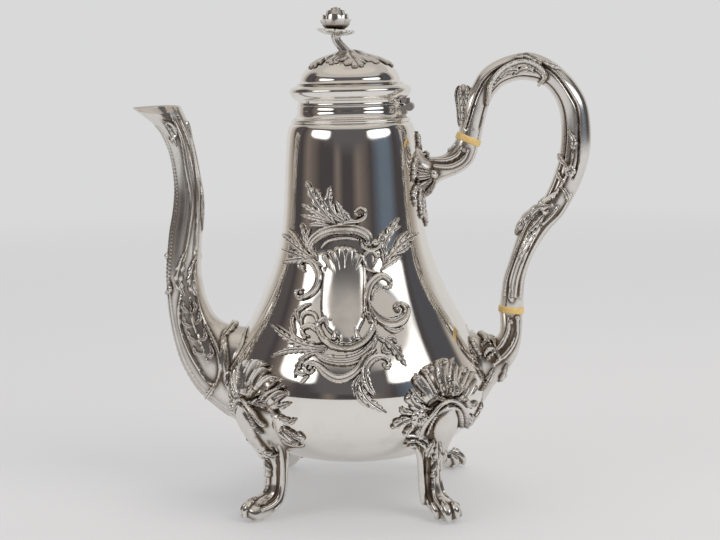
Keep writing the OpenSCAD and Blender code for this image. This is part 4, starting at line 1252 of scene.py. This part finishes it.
foot_lines = [
    # the leg's plain field and its double frame
    ("field", 2.6, [(448, 410, 4), (447, 418, 6.4), (446, 428, 6.8), (444, 438, 5), (443, 446, 2)]),
    ("bead", 3.4, [
        (423, 436, 0.7), (427, 424, 1.1), (432, 415, 1.2), (440, 405, 1.2), (449, 401, 1.2),
        (458, 406, 1.2), (463, 415, 1.1), (464, 425, 0.7)
    ]),
    ("bead", 2.8, [
        (428, 432, 0.6), (434, 418, 0.8), (441, 410, 0.9), (449, 407, 0.9), (456, 410, 0.9),
        (459, 418, 0.8), (459, 426, 0.5)
    ]),
    # the shell over it: a mound and hollow petals with curled tips
    ("field", 2.0, [(428, 396, 4), (438, 384, 8), (452, 382, 8), (465, 392, 4)]),
    ("flute", 2.9, [(431, 398, 1.0), (424, 389, 2.6), (417, 380, 2.6), (416, 375, 1.4)]),
    ("flute", 3.3, [(437, 396, 1.0), (431, 383, 2.9), (428, 371, 2.8), (430, 366, 1.5)]),
    ("flute", 3.6, [(444, 395, 1.0), (440, 381, 3.0), (440, 367, 3.0), (443, 360, 1.6)]),
    ("flute", 3.5, [(450, 394, 1.0), (449, 381, 2.8), (450, 370, 2.6), (453, 364, 1.4)]),
    ("flute", 3.4, [(455, 396, 1.0), (457, 383, 2.8), (461, 373, 2.6), (465, 369, 1.4)]),
    ("flute", 3.1, [(459, 400, 1.0), (465, 390, 2.5), (470, 381, 2.2), (473, 378, 1.1)]),
    ("bead", 4.0, [(436, 398, 0.5), (429, 386, 0.9), (424, 377, 0.9), (421, 371, 0.6)]),
    ("bead", 4.2, [(441, 396, 0.5), (436, 383, 0.9), (434, 371, 0.9), (435, 362, 0.6)]),
    ("bead", 4.3, [(447, 395, 0.5), (445, 381, 0.9), (446, 369, 0.9), (449, 360, 0.6)]),
    ("bead", 4.2, [(453, 395, 0.5), (453, 383, 0.9), (456, 372, 0.9), (459, 368, 0.7)]),
    ("bead", 3.9, [(458, 398, 0.5), (461, 387, 0.9), (466, 379, 0.9), (470, 373, 0.6)]),
    ("knob", 2.6, [(417, 378, 1.5)]),
    ("knob", 3.1, [(430, 369, 1.6)]),
    ("knob", 3.5, [(443, 362, 1.8)]),
    ("knob", 3.2, [(461, 371, 1.6)]),
    ("scroll", 3.2, [(430, 405, 0.7), (435, 399, 1.2), (442, 400, 1.3), (446, 405, 0.9)]),
    ("scroll", 3.0, [(452, 404, 0.7), (457, 399, 1.2), (464, 400, 1.2), (467, 406, 0.8)]),
    # a rose and its leaves
    ("rose", 5.2, [(417, 416, 4.6)]),
    ("leaf", 2.6, [(431, 409, 1.2), (421, 408, 3.0), (411, 401, 2.5), (408, 393, 0.5)]),
    ("leaf", 2.4, [(423, 402, 1.0), (416, 396, 2.0), (411, 389, 0.5)]),
    ("leaf", 2.6, [(412, 417, 1.2), (402, 420, 2.7), (391, 427, 0.4)]),
    ("leaf", 2.3, [(413, 412, 1.0), (405, 411, 1.9), (400, 408, 0.4)]),
    ("leaf", 2.3, [(411, 424, 1.0), (407, 430, 2.0), (405, 434, 0.4)]),
    ("leaf", 2.4, [(419, 424, 1.0), (417, 430, 2.0), (413, 435, 0.4)]),
    ("leaf", 2.4, [(424, 421, 0.9), (425, 428, 1.8), (421, 434, 0.4)]),
    # small leaves on the far side
    ("leaf", 2.2, [(465, 394, 0.8), (470, 392, 1.8), (475, 386, 0.4)]),
    ("leaf", 2.2, [(466, 403, 0.8), (471, 405, 1.8), (475, 401, 0.4)]),
    ("leaf", 2.2, [(466, 413, 0.8), (469, 419, 1.6), (471, 414, 0.4)]),
    # mouldings and the volute at the top of the leg
    ("bead", 2.4, [(406, 434, 0.6), (415, 434, 1.1), (424, 436, 1.0), (429, 441, 0.6)]),
    ("bead", 2.4, [(407, 439, 0.6), (416, 439, 1.1), (424, 443, 1.0), (428, 450, 0.6)]),
    ("bead", 2.0, [
        (409, 446, 1.0), (413, 444, 1.2), (418, 448, 1.3), (421, 462, 1.5), (422, 480, 1.5),
        (424, 500, 1.5), (427, 508, 1.1)
    ]),
    # the channel down the leg, a drop of leaves and a rib
    ("field", -1.6, [(427, 452, 1.4), (428, 468, 2.0), (428, 486, 2.0), (430, 502, 1.4)]),
    ("leaf", 2.8, [(434, 437, 1.0), (430, 446, 2.8), (427, 455, 0.5)]),
    ("leaf", 3.0, [(437, 437, 1.0), (437, 449, 2.8), (435, 458, 0.5)]),
    ("leaf", 2.8, [(438, 441, 0.9), (443, 449, 2.3), (443, 457, 0.5)]),
    ("knob", 2.4, [(433, 458, 1.1)]),
    ("leaf", 2.8, [(435, 459, 0.9), (434, 468, 2.9), (432, 478, 0.5)]),
    ("bead", 1.4, [
        (433, 474, 0.6), (433, 488, 0.9), (435, 500, 0.9), (442, 509, 0.9), (447, 518, 0.7)
    ]),
    # the toe's lobes
    ("bead", 1.7, [(433, 504, 0.9), (436, 511, 1.9), (438, 519, 1.1)]),
    ("bead", 1.9, [(442, 502, 0.9), (447, 510, 2.1), (449, 519, 1.2)]),
    ("bead", 1.7, [(452, 503, 0.9), (456, 510, 1.8), (457, 517, 1.0)]),
]
leg_ribs = [
    ("bead", 1.2, [(0.4, 72, 0.8), (0.6, 72, 1.2), (0.8, 72, 1.2), (0.92, 66, 0.9)]),
    ("field", -1.1, [(0.42, 50, 0.7), (0.6, 48, 1.2), (0.8, 46, 1.0), (0.9, 44, 0.5)]),
    ("bead", 1.0, [(0.3, 104, 0.6), (0.6, 108, 1.0), (0.86, 108, 0.7)]),
]
leg_lines = [
    (kind, tall, rotated(line, foot_turn)) for kind, tall, line in
    along_loft(leg_rows, leg_ribs, both_sides=False)
]
foot_tree = tree_of(leg, body)
lines = traced(foot_tree, foot_lines) + leg_lines
raised(leg, lines)
mount = relief_sheet("mount", foot_turn, plate_half_degrees, *mount_z, plate_step)
cut_out(mount, lines)
bpy.ops.object.select_all(action="DESELECT")
bpy.ops.mesh.primitive_cylinder_add(vertices=48, radius=1, depth=1)
pad = named("pad")
pad_middle = rotated(np.array([[foot_circle_r, 0, pad_h / 2]]), foot_turn)
set_points(pad, points_of(pad) * MM * (foot_pad_r, foot_pad_r, pad_h) + pad_middle)
foot = with_leaves(joined("foot_1", leg, mount, pad), lines, foot_tree)
feet = [foot] + [copied(foot, f"foot_{n + 1}", 90 * n) for n in (1, 2, 3)]
print("foot", len(lines), "lines")

# %% [markdown]
# ## Ivory rings
# Each ring is turned on a lathe: a plain band with soft edges, and a tenon on both sides that
# goes up into the silver, where a cross pin holds it.

# %% Ivory rings
tenon_r, tenon_l, ring_edge = 3.4, 7.6, 0.5


def ivory_ring(name, centre, tilt):
    half = ring_h / 2
    profile = np.vstack([
        [(0, -half - tenon_l), (tenon_r, -half - tenon_l), (tenon_r, -half)],
        arc((ring_r - ring_edge, -half + ring_edge), ring_edge, -90, 0, 6),
        arc((ring_r - ring_edge, half - ring_edge), ring_edge, 0, 90, 6),
        [(tenon_r, half), (tenon_r, half + tenon_l), (0, half + tenon_l)],
    ])
    piece = turned(name, profile, steps=96)
    turn = np.array(Matrix.Rotation(math.radians(tilt), 3, "Y"))
    set_points(piece, points_of(piece) @ turn.T + (centre[0], 0, centre[1]))
    return piece


rings = [
    ivory_ring("ivory_ring_upper", upper_ring, upper_tilt),
    ivory_ring("ivory_ring_lower", lower_ring, lower_tilt),
]

# %% [markdown]
# ## Finial
# The knob of the lid is a rose on a bent stem. Leaves lie on the dome round the stem's foot,
# a saucer of leaves holds the flower, and five rings of cupped petals close round its heart.

# %% Finial
mount_h, stem_h, stem_thick, lean = 3.2, 6.7, 2.2, 6.5
stem_z = dome_top + mount_h
calyx_z, calyx_r = stem_z + stem_h, 9.6
flower_z = calyx_z + 2.4
mound_r, mound_h = 5.6, mount_h - 0.5
petal_wall = 0.5


def disc_piece(name, r_lines, around, rise):
    """A closed dish: its top is rise(r, angle) above its underside, in rings of radii."""
    angle = np.linspace(0, 2 * math.pi, around + 1)
    r = np.array(r_lines)[:, None]
    under, top, edge = rise(r, angle)
    x, y = r * edge * np.cos(angle), r * edge * np.sin(angle)
    upper = np.stack([x, y, top + 0 * x], axis=2)
    lower = np.stack([x, y, under + 0 * x], axis=2)[::-1]
    return formed(name, np.concatenate([upper, lower[1:]]))


def dome_height(r):
    line = dome_line(0, 60)[::-1]
    return np.interp(r, line[:, 0], line[:, 1])


def on_mount(degrees, r):
    """A place on the mound of metal over the dome that the leaves lie on."""
    angle = np.radians(degrees)
    mound_rise = mound_h * np.exp(-((r / mound_r) ** 2))
    z = dome_height(r) + skin_gap + mound_rise + 0 * angle
    return np.stack([r * np.cos(angle), r * np.sin(angle), z], axis=-1)


def mount_leaf(degrees, start, end, half_w, tall):
    """A leaf that lies out from the stem's foot, a little bent to one side."""
    r = np.linspace(start, end, 40)
    share = (r - start) / (end - start)
    width = half_w * np.sin(math.pi * (0.14 + 0.8 * share)) ** 0.8
    places = on_mount(degrees + 10 * share**2, r)
    return "leaf", tall, np.column_stack([places, width])


leaf_count = 5
mount_lines = [
    mount_leaf(360 / leaf_count * n + turn, start, end, half_w, tall)
    for turn, start, end, half_w, tall in ((-84, 2, 21, 6.4, 1.5), (-48, 5, 18.5, 4.6, 0.9))
    for n in range(leaf_count)
]
r_lines, degrees = np.linspace(0.1, 22, 62)[:, None], np.linspace(0, 360, 289)
mount_piece = outward(formed("finial_leaves", on_mount(degrees, r_lines)))
mount_tree = tree_of(mount_piece)
cut_out(mount_piece, mount_lines)
mount_piece = with_leaves(mount_piece, mount_lines, mount_tree)

stem_rows = loft_rows([
    (-1.2, stem_z - 4.4, 2.2, stem_z - 2.2, 2.4),
    (-4.4, stem_z - 1.4, -0.6, stem_z + 0.6, 2.1),
    (-7.2, stem_z + stem_h * 0.32, -3.2, stem_z + stem_h * 0.5, 2.1),
    (-stem_thick - lean * 0.98, stem_z + stem_h * 0.72, stem_thick - lean * 1.02,
     stem_z + stem_h * 0.78, 2.2),
    (-stem_thick - lean - 0.3, calyx_z + 0.4, stem_thick - lean + 0.3, calyx_z + 0.4, 2.5),
], spacing=0.35)
stem = cast_piece("rose_stem", stem_rows, around=32)
stem_ribs = [
    ("bead", 0.3, [(0.1, angle, 0.45), (0.5, angle, 0.5), (0.95, angle, 0.45)])
    for angle in round_degrees
]
raised(stem, along_loft(stem_rows, stem_ribs))
softened(stem, 60)


def calyx_rise(r, angle):
    """A saucer of six leaves with a thick, turned-up edge."""
    lobe = np.abs(np.cos(3 * angle)) ** 0.6
    share = r / calyx_r
    edge = 1 - 0.2 * (1 - lobe) * share**2
    tilt = -0.09 * r * np.cos(angle)
    under = calyx_z + 0.2 + 1.7 * share**3 + tilt
    rib = 0.22 * np.abs(np.cos(9 * angle)) * share
    return under, under + 0.8 + 0.9 * np.sqrt(np.clip(1 - share**6, 0, 1)) + rib, edge


calyx = disc_piece("rose_calyx", np.linspace(0, calyx_r, 30), 168, calyx_rise)
from_stem = np.linalg.norm(points_of(calyx)[:, :2], axis=1)
write_shares(calyx, "hollow", np.clip(1 - from_stem / 8, 0, 1))
set_points(calyx, points_of(calyx) - (lean, 0, 0))


def petal(name, turn, foot_r, full_r, tip_r, tip_z, half_angle):
    """One cupped petal with a back: broad, hollow inside, and pointed at its lip."""
    rows, columns = 16, 14
    up = np.linspace(0, 1, rows)[:, None]
    side = np.linspace(-1, 1, columns + 1)
    swell = np.sin(np.minimum(up / 0.6, 1) * math.pi / 2)
    belly = foot_r + (full_r - foot_r) * swell + (tip_r - full_r) * np.clip(up / 0.4 - 1.5, 0, 1)
    ring = side * math.radians(half_angle) * (0.7 + 0.4 * np.sin(math.pi * 0.62 * up))
    layers = []
    for inset in (0, petal_wall):
        r = belly - inset - 0.5 * side**2 * up
        z = flower_z + tip_z * up - 0.27 * tip_z * np.abs(side) ** 2 * up**2
        layers.append(np.stack([r * np.cos(ring), r * np.sin(ring), z], axis=2))
    places = np.concatenate([layers[0], layers[1][::-1], layers[0][:1]])
    left, right = (places[:, end : end + 1].copy() for end in (0, columns))
    for edge in (left, right):
        seam = (edge[:rows] + edge[rows : 2 * rows][::-1]) / 2
        edge[:rows] = seam
        edge[rows : 2 * rows] = seam[::-1]
        edge[-1] = seam[0]
    piece = formed(name, np.concatenate([left, places, right], axis=1))
    share = (points_of(piece)[:, 2] - flower_z) / tip_z
    write_shares(piece, "hollow", np.clip(0.95 - 1.1 * share, 0, 1))
    set_points(piece, rotated(points_of(piece), turn) - (lean, 0, 0))
    return piece


petals = [
    petal(f"petal_{ring}_{n}", turn + 360 / count * n, *shape)
    for ring, (count, turn, *shape) in enumerate([
        (5, 14, 2.8, 7.0, 8.1, 5.8, 40), (5, 50, 2.5, 6.8, 6.6, 8.2, 43),
        (5, 22, 2.1, 5.7, 4.6, 10.2, 45), (4, 60, 1.6, 4.0, 2.6, 11.4, 56),
        (3, 30, 1.0, 2.4, 1.1, 11.8, 66),
    ])
    for n in range(count)
]
heart_rows = loft_rows([
    (r, flower_z + z, -r, flower_z + z, r)
    for z, r in ((-1.2, 2.4), (3, 3.2), (8, 2.0), (10.4, 0.7))
], 0.6)
heart = cast_piece("petal_heart", heart_rows, around=24)
set_points(heart, points_of(heart) - (lean, 0, 0))
flower = softened(joined("rose_flower", *petals, heart), 50)
softened(calyx, 50)
print("finial top", round(points_of(flower)[:, 2].max(), 1), "mm")

# %% [markdown]
# ## Finishes
# A finish is a graph of nodes. The small class below lets that graph be written as arithmetic:
# every operator on a value adds the Math node that does it, and one method adds any other node.

# %% Shader arithmetic
class Value:
    """A socket that takes part in arithmetic."""

    def __init__(self, finish, socket):
        self.finish = finish
        self.socket = socket

    def _with(self, operation, first, second=0.0):
        return self.finish.add(
            "ShaderNodeMath", {"operation": operation}, {0: first, 1: second}
        )

    def __add__(self, other):
        return self._with("ADD", self, other)

    def __sub__(self, other):
        return self._with("SUBTRACT", self, other)

    def __mul__(self, other):
        return self._with("MULTIPLY", self, other)

    def __truediv__(self, other):
        return self._with("DIVIDE", self, other)

    def clamped(self):
        return self._with("MINIMUM", self._with("MAXIMUM", self, 0.0), 1.0)

    __radd__ = __add__
    __rmul__ = __mul__


class Finish:
    """A material, built node by node."""

    def __init__(self, name, tree=None):
        if tree is None:
            self.material = bpy.data.materials.new(name)
            self.material.use_nodes = True
            tree = self.material.node_tree
        self.tree = tree
        self.tree.nodes.clear()

    def add(self, kind, settings=None, sockets=None, output=0):
        """Adds a node: its settings first, then its sockets, and returns one output."""
        node = self.tree.nodes.new(kind)
        for name, value in (settings or {}).items():
            if name == "stops":
                self._set_stops(node.color_ramp, value)
            else:
                setattr(node, name, value)
        for name, value in (sockets or {}).items():
            if isinstance(value, Value):
                self.tree.links.new(value.socket, node.inputs[name])
            else:
                node.inputs[name].default_value = value
        return Value(self, node.outputs[output]) if node.outputs else node

    def _set_stops(self, ramp, stops):
        while len(ramp.elements) < len(stops):
            ramp.elements.new(0.5)
        for element, (place, colour) in zip(ramp.elements, stops):
            element.position = place
            element.color = (*colour, 1)

    def noise(self, size_mm, detail=3.0, stretch=(1, 1, 1)):
        """Soft noise whose patches are about this many millimetres across."""
        place = self.add("ShaderNodeTexCoord", output="Object")
        scaled = self.add("ShaderNodeMapping", None, {"Vector": place, "Scale": stretch})
        return self.add("ShaderNodeTexNoise", None, {
            "Vector": scaled, "Scale": 1 / (size_mm * MM), "Detail": detail
        })

    def mix(self, factor, first, second):
        return self.add(
            "ShaderNodeMix", {"data_type": "RGBA"},
            {"Factor": factor, 6: first, 7: second}, output=2
        )

    def surface(self, shader):
        self.add("ShaderNodeOutputMaterial", None, {"Surface": shader})
        return self.material


# %% [markdown]
# Polished silver has nearly no colour of its own: it shows the room. What makes it read as old
# silver is small: fine wear that softens the reflections in places, a slightly uneven surface
# left by the hammer, and brown tarnish in the hollows that a cloth doesn't reach. The castings
# and the hinge also get an even brown layer that is partly tarnish and partly painted shade:
# it darkens them as the dark room that they reflect would.

# %% Silver
def silver_finish(name, wear, even_tarnish_and_painted_shade):
    f = Finish(name)
    hollow = f.add("ShaderNodeAttribute", {"attribute_name": "hollow"}, output="Fac")
    patches = f.noise(9, 4)
    wipes = f.noise(14, 3, (1, 1, 0.25))
    specks = f.noise(0.7, 2)
    # Brown mix: tarnish in the hollows and in random patches, plus an even layer that on the castings
    # and the hinge is partly painted shade.
    tarnish_and_painted_shade = (hollow * (0.9 + 0.6 * patches) + even_tarnish_and_painted_shade + (patches - 0.5) * 0.3).clamped()
    colour = f.mix(tarnish_and_painted_shade * 0.95, (0.90, 0.87, 0.825, 1), (0.15, 0.105, 0.068, 1))
    roughness = wear + 0.1 * wipes * patches + 0.25 * tarnish_and_painted_shade
    height = 0.6 * wipes + 0.05 * specks
    bumped = f.add("ShaderNodeBump", None, {
        "Strength": 0.06, "Distance": 0.4 * MM, "Height": height
    })
    return f.surface(f.add("ShaderNodeBsdfPrincipled", None, {
        "Base Color": colour, "Metallic": 1.0, "Roughness": roughness, "Normal": bumped
    }))


polished = silver_finish("polished_silver", 0.05, 0.0)
# The castings' even brown layer is partly painted shade, for the dark room that they reflect.
cast_silver = silver_finish("cast_silver", 0.13, 0.12)
worn_silver = silver_finish("worn_silver", 0.3, 0.08)
# The hinge's heavy even brown layer is partly tarnish and partly painted shade, for the dark room that
# it reflects.
hinge_silver = silver_finish("hinge_silver", 0.2, 0.5)

# %% Ivory
def ivory_finish(name):
    f = Finish(name)
    grain = f.noise(2.2, 4, (1, 1, 0.2))
    stain = f.noise(5, 3)
    colour = f.mix(grain, (0.70, 0.46, 0.14, 1), (0.84, 0.62, 0.26, 1))
    colour = f.mix((stain - 0.45).clamped(), colour, (0.4, 0.22, 0.07, 1))
    bumped = f.add("ShaderNodeBump", None, {
        "Strength": 0.15, "Distance": 0.2 * MM, "Height": grain
    })
    return f.surface(f.add("ShaderNodeBsdfPrincipled", None, {
        "Base Color": colour, "Roughness": 0.3 + 0.15 * stain, "Normal": bumped,
        "Coat Weight": 0.15
    }))


ivory = ivory_finish("ivory")

# %% Finishing the pieces
foot_nodes = ["foot_front_right", "foot_back_right", "foot_back_left", "foot_front_left"]
castings = [
    (spout, "spout"), (grip, "handle_grip"), (upper_socket, "handle_upper_socket"),
    (lower_socket, "handle_lower_socket"), *zip(feet, foot_nodes),
]
finials = [
    (mount_piece, "finial_mount"), (stem, "finial_stem"), (calyx, "finial_calyx"),
    (flower, "finial_flower"),
]
finish_piece(body, "pot", ["body_shell"], polished)
finish_piece(collar, "pot", ["neck_collar"], polished)
finish_piece(lid, "lid", ["lid_shell"], polished)
finish_piece(cartouche, "pot", ["cartouche_front"], cast_silver)
finish_piece(cartouche_2, "pot", ["cartouche_back"], cast_silver)
for piece, node in castings:
    finish_piece(piece, "pot", [node], cast_silver)
for piece, node in zip(rings, ("insulator_upper", "insulator_lower")):
    finish_piece(piece, "pot", [node], ivory)
for piece, node in finials:
    finish_piece(piece, "lid", [node], cast_silver)
kept_nodes = {
    "handle_cross_pins": worn_silver, "hinge_body_leaf": hinge_silver, "hinge_pin": hinge_silver,
    "hinge_lid_leaf": hinge_silver, "lid_bezel": polished, "finial_nut": worn_silver,
}
for node, finish in kept_nodes.items():
    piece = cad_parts[node]
    piece.data.materials.clear()
    piece.data.materials.append(finish)

# %% [markdown]
# ## Studio
# Silver is photographed by what it reflects. The pot stands on a pale sheet that fades into a
# pale background. Two large soft boxes light it from the sides and above, and the room behind
# the camera, seen only in the silver, is a wall of darker and lighter bands.

# %% Floor and background
def camera_like(f):
    """1 for rays from the camera, and for those that glass sends on."""
    paths = f.add("ShaderNodeLightPath", output="Is Camera Ray")
    seen_in = f.add("ShaderNodeLightPath", output="Is Transmission Ray")
    return (paths + seen_in).clamped()


backdrop = (0.694, 0.694, 0.70)
world = bpy.data.worlds.new("studio_world")
bpy.context.scene.world = world
world.use_nodes = True
f = Finish("world", world.node_tree)
glossy = f.add("ShaderNodeLightPath", output="Is Glossy Ray")
seen = f.mix(camera_like(f), (0.55, 0.56, 0.58, 1), (*backdrop, 1))
seen = f.mix(glossy, seen, (0.52, 0.50, 0.47, 1))
background = f.add("ShaderNodeBackground", None, {"Color": seen, "Strength": 1.0})
f.add("ShaderNodeOutputWorld", None, {"Surface": background})

floor_r, fade_near, fade_far, least_fade = 6.0, 0.35, 1.6, 0.45
bpy.ops.object.select_all(action="DESELECT")
bpy.ops.mesh.primitive_circle_add(vertices=96, radius=floor_r, fill_type="NGON")
floor = named("floor")
f = Finish("floor")
place = f.add("ShaderNodeTexCoord", output="Object")
distance = f.add("ShaderNodeVectorMath", {"operation": "LENGTH"}, {0: place}, output="Value")
fade = least_fade + (1 - least_fade) * ((distance - fade_near) / (fade_far - fade_near)).clamped()
paper = f.add("ShaderNodeBsdfPrincipled", None, {
    "Base Color": (0.58, 0.565, 0.555, 1), "Roughness": 0.6
})
glow = f.add("ShaderNodeEmission", None, {"Color": (*backdrop, 1), "Strength": 1.0})
seen = camera_like(f) + f.add("ShaderNodeLightPath", output="Is Glossy Ray")
faded = f.add("ShaderNodeMixShader", None, {0: fade * seen.clamped(), 1: paper, 2: glow})
floor.data.materials.append(f.surface(faded))

# %% The room that the silver shows
def reflector(name, points, faces, colour, strength):
    """A card that only the silver sees."""
    mesh = bpy.data.meshes.new(name)
    mesh.from_pydata(points, [], faces)
    card = bpy.data.objects.new(name, mesh)
    bpy.context.collection.objects.link(card)
    card.visible_camera = False
    card.visible_diffuse = False
    card.visible_transmission = False
    card.visible_shadow = False
    f = Finish(name)
    tone = colour(f) if callable(colour) else (*colour, 1)
    lit = f.add("ShaderNodeEmission", None, {"Color": tone, "Strength": strength})
    if not callable(colour):
        glow = f.add("ShaderNodeAttribute", {"attribute_name": "glow"}, output="Fac")
        clear = f.add("ShaderNodeBsdfTransparent")
        lit = f.add("ShaderNodeMixShader", None, {0: glow, 1: clear, 2: lit})
    mesh.materials.append(f.surface(lit))
    return card


look_z = 0.1


def toward(azimuth, elevation, r):
    """A place by its azimuth from the camera's side, its elevation and its distance, in metres."""
    a, e = math.radians(azimuth - 90), math.radians(elevation)
    return (r * math.cos(a) * math.cos(e), r * math.sin(a) * math.cos(e), look_z + r * math.sin(e))


def card_at(name, left, right, low, high, r, colour, strength, edge=0.3):
    """A curved card between two azimuths and two elevations, that fades at its edges."""
    steps = 16
    shares = [n / steps for n in range(steps + 1)]
    points = [
        toward(left + (right - left) * a, low + (high - low) * e, r) for e in shares for a in shares
    ]
    faces = [
        (n, n + 1, n + steps + 2, n + steps + 1)
        for n in range(steps * (steps + 1)) if n % (steps + 1) < steps
    ]
    card = reflector(name, points, faces, colour, strength)
    out = [abs(2 * share - 1) ** 4 for share in shares]
    glow = [min(max(1 - (a + e) ** 0.25, 0) / edge, 1) for e in out for a in out]
    write_shares(card, "glow", glow)


def room_tone(f):
    """The room's wall by azimuth: a dark doorway and furniture, a bluish side, pale ends."""
    place = f.add("ShaderNodeTexCoord", output="Object")
    split = f.add("ShaderNodeSeparateXYZ", None, {0: place}, output="X")
    depth = f.add("ShaderNodeSeparateXYZ", None, {0: place}, output="Y")
    azimuth = f.add("ShaderNodeMath", {"operation": "ARCTAN2"}, {0: split, 1: depth * -1.0})
    turn = azimuth / (2 * math.pi) + 0.5
    pale, tan, dark = (0.68, 0.67, 0.66), (0.32, 0.27, 0.21), (0.065, 0.058, 0.06)
    brown, blue = (0.2, 0.165, 0.145), (0.13, 0.165, 0.21)
    stops = [
        (0.11, pale), (0.17, tan), (0.20, dark), (0.25, dark), (0.29, brown), (0.36, dark),
        (0.42, dark), (0.445, brown), (0.47, dark), (0.51, dark), (0.54, brown), (0.60, dark),
        (0.65, blue), (0.69, blue), (0.73, dark), (0.77, dark), (0.81, tan), (0.87, pale)
    ]
    return f.add("ShaderNodeValToRGB", {"stops": stops}, {0: turn}, output="Color")


wall_r, wall_h, wall_sides = 1.9, 1.45, 72
ring = [2 * math.pi * n / wall_sides for n in range(wall_sides)]
points = [(wall_r * math.cos(a), wall_r * math.sin(a), z) for z in (0.0, wall_h) for a in ring]
faces = [
    (n, (n + 1) % wall_sides, wall_sides + (n + 1) % wall_sides, wall_sides + n)
    for n in range(wall_sides)
]
reflector("room_wall", points, faces, room_tone, 1.0)
card_at("soft_box_left", -72, -31, 19, 34, 0.57, (1.0, 0.99, 0.97), 2.1, 0.22)
card_at("soft_box_right", 31, 80, 19, 34, 0.57, (1.0, 0.99, 0.98), 2.2, 0.22)
card_at("dark_left", -122, -92, 2, 46, 1.5, (0.09, 0.08, 0.08), 1.0)
card_at("dark_right", 86, 118, 2, 46, 1.5, (0.08, 0.08, 0.09), 1.0)
card_at("dim_front", -40, 38, 8, 40, 1.6, (0.11, 0.105, 0.11), 1.0)
card_at("ceiling_panel", -170, 170, 52, 84, 1.7, (0.64, 0.60, 0.555), 1.0)

# %% Lamps
def area_lamp(name, place, size, watts, colour):
    data = bpy.data.lights.new(name, "AREA")
    data.shape = "RECTANGLE"
    data.size, data.size_y = size
    data.energy = watts
    data.color = colour
    lamp = bpy.data.objects.new(name, data)
    lamp.location = place
    aim = Vector((0, 0, look_z)) - Vector(place)
    lamp.rotation_euler = aim.to_track_quat("-Z", "Y").to_euler()
    lamp.visible_glossy = False
    bpy.context.collection.objects.link(lamp)


area_lamp("key_lamp", (1.0, -0.6, 1.1), (0.9, 0.9), 13, (1, 0.985, 0.97))
area_lamp("fill_lamp", (-1.1, -0.7, 0.9), (0.9, 0.9), 5, (1, 0.99, 1))
area_lamp("top_lamp", (0, 0.4, 1.5), (1.2, 1.2), 9, (1, 0.99, 0.98))

# %% View
bpy.context.scene.view_settings.view_transform = "Standard"
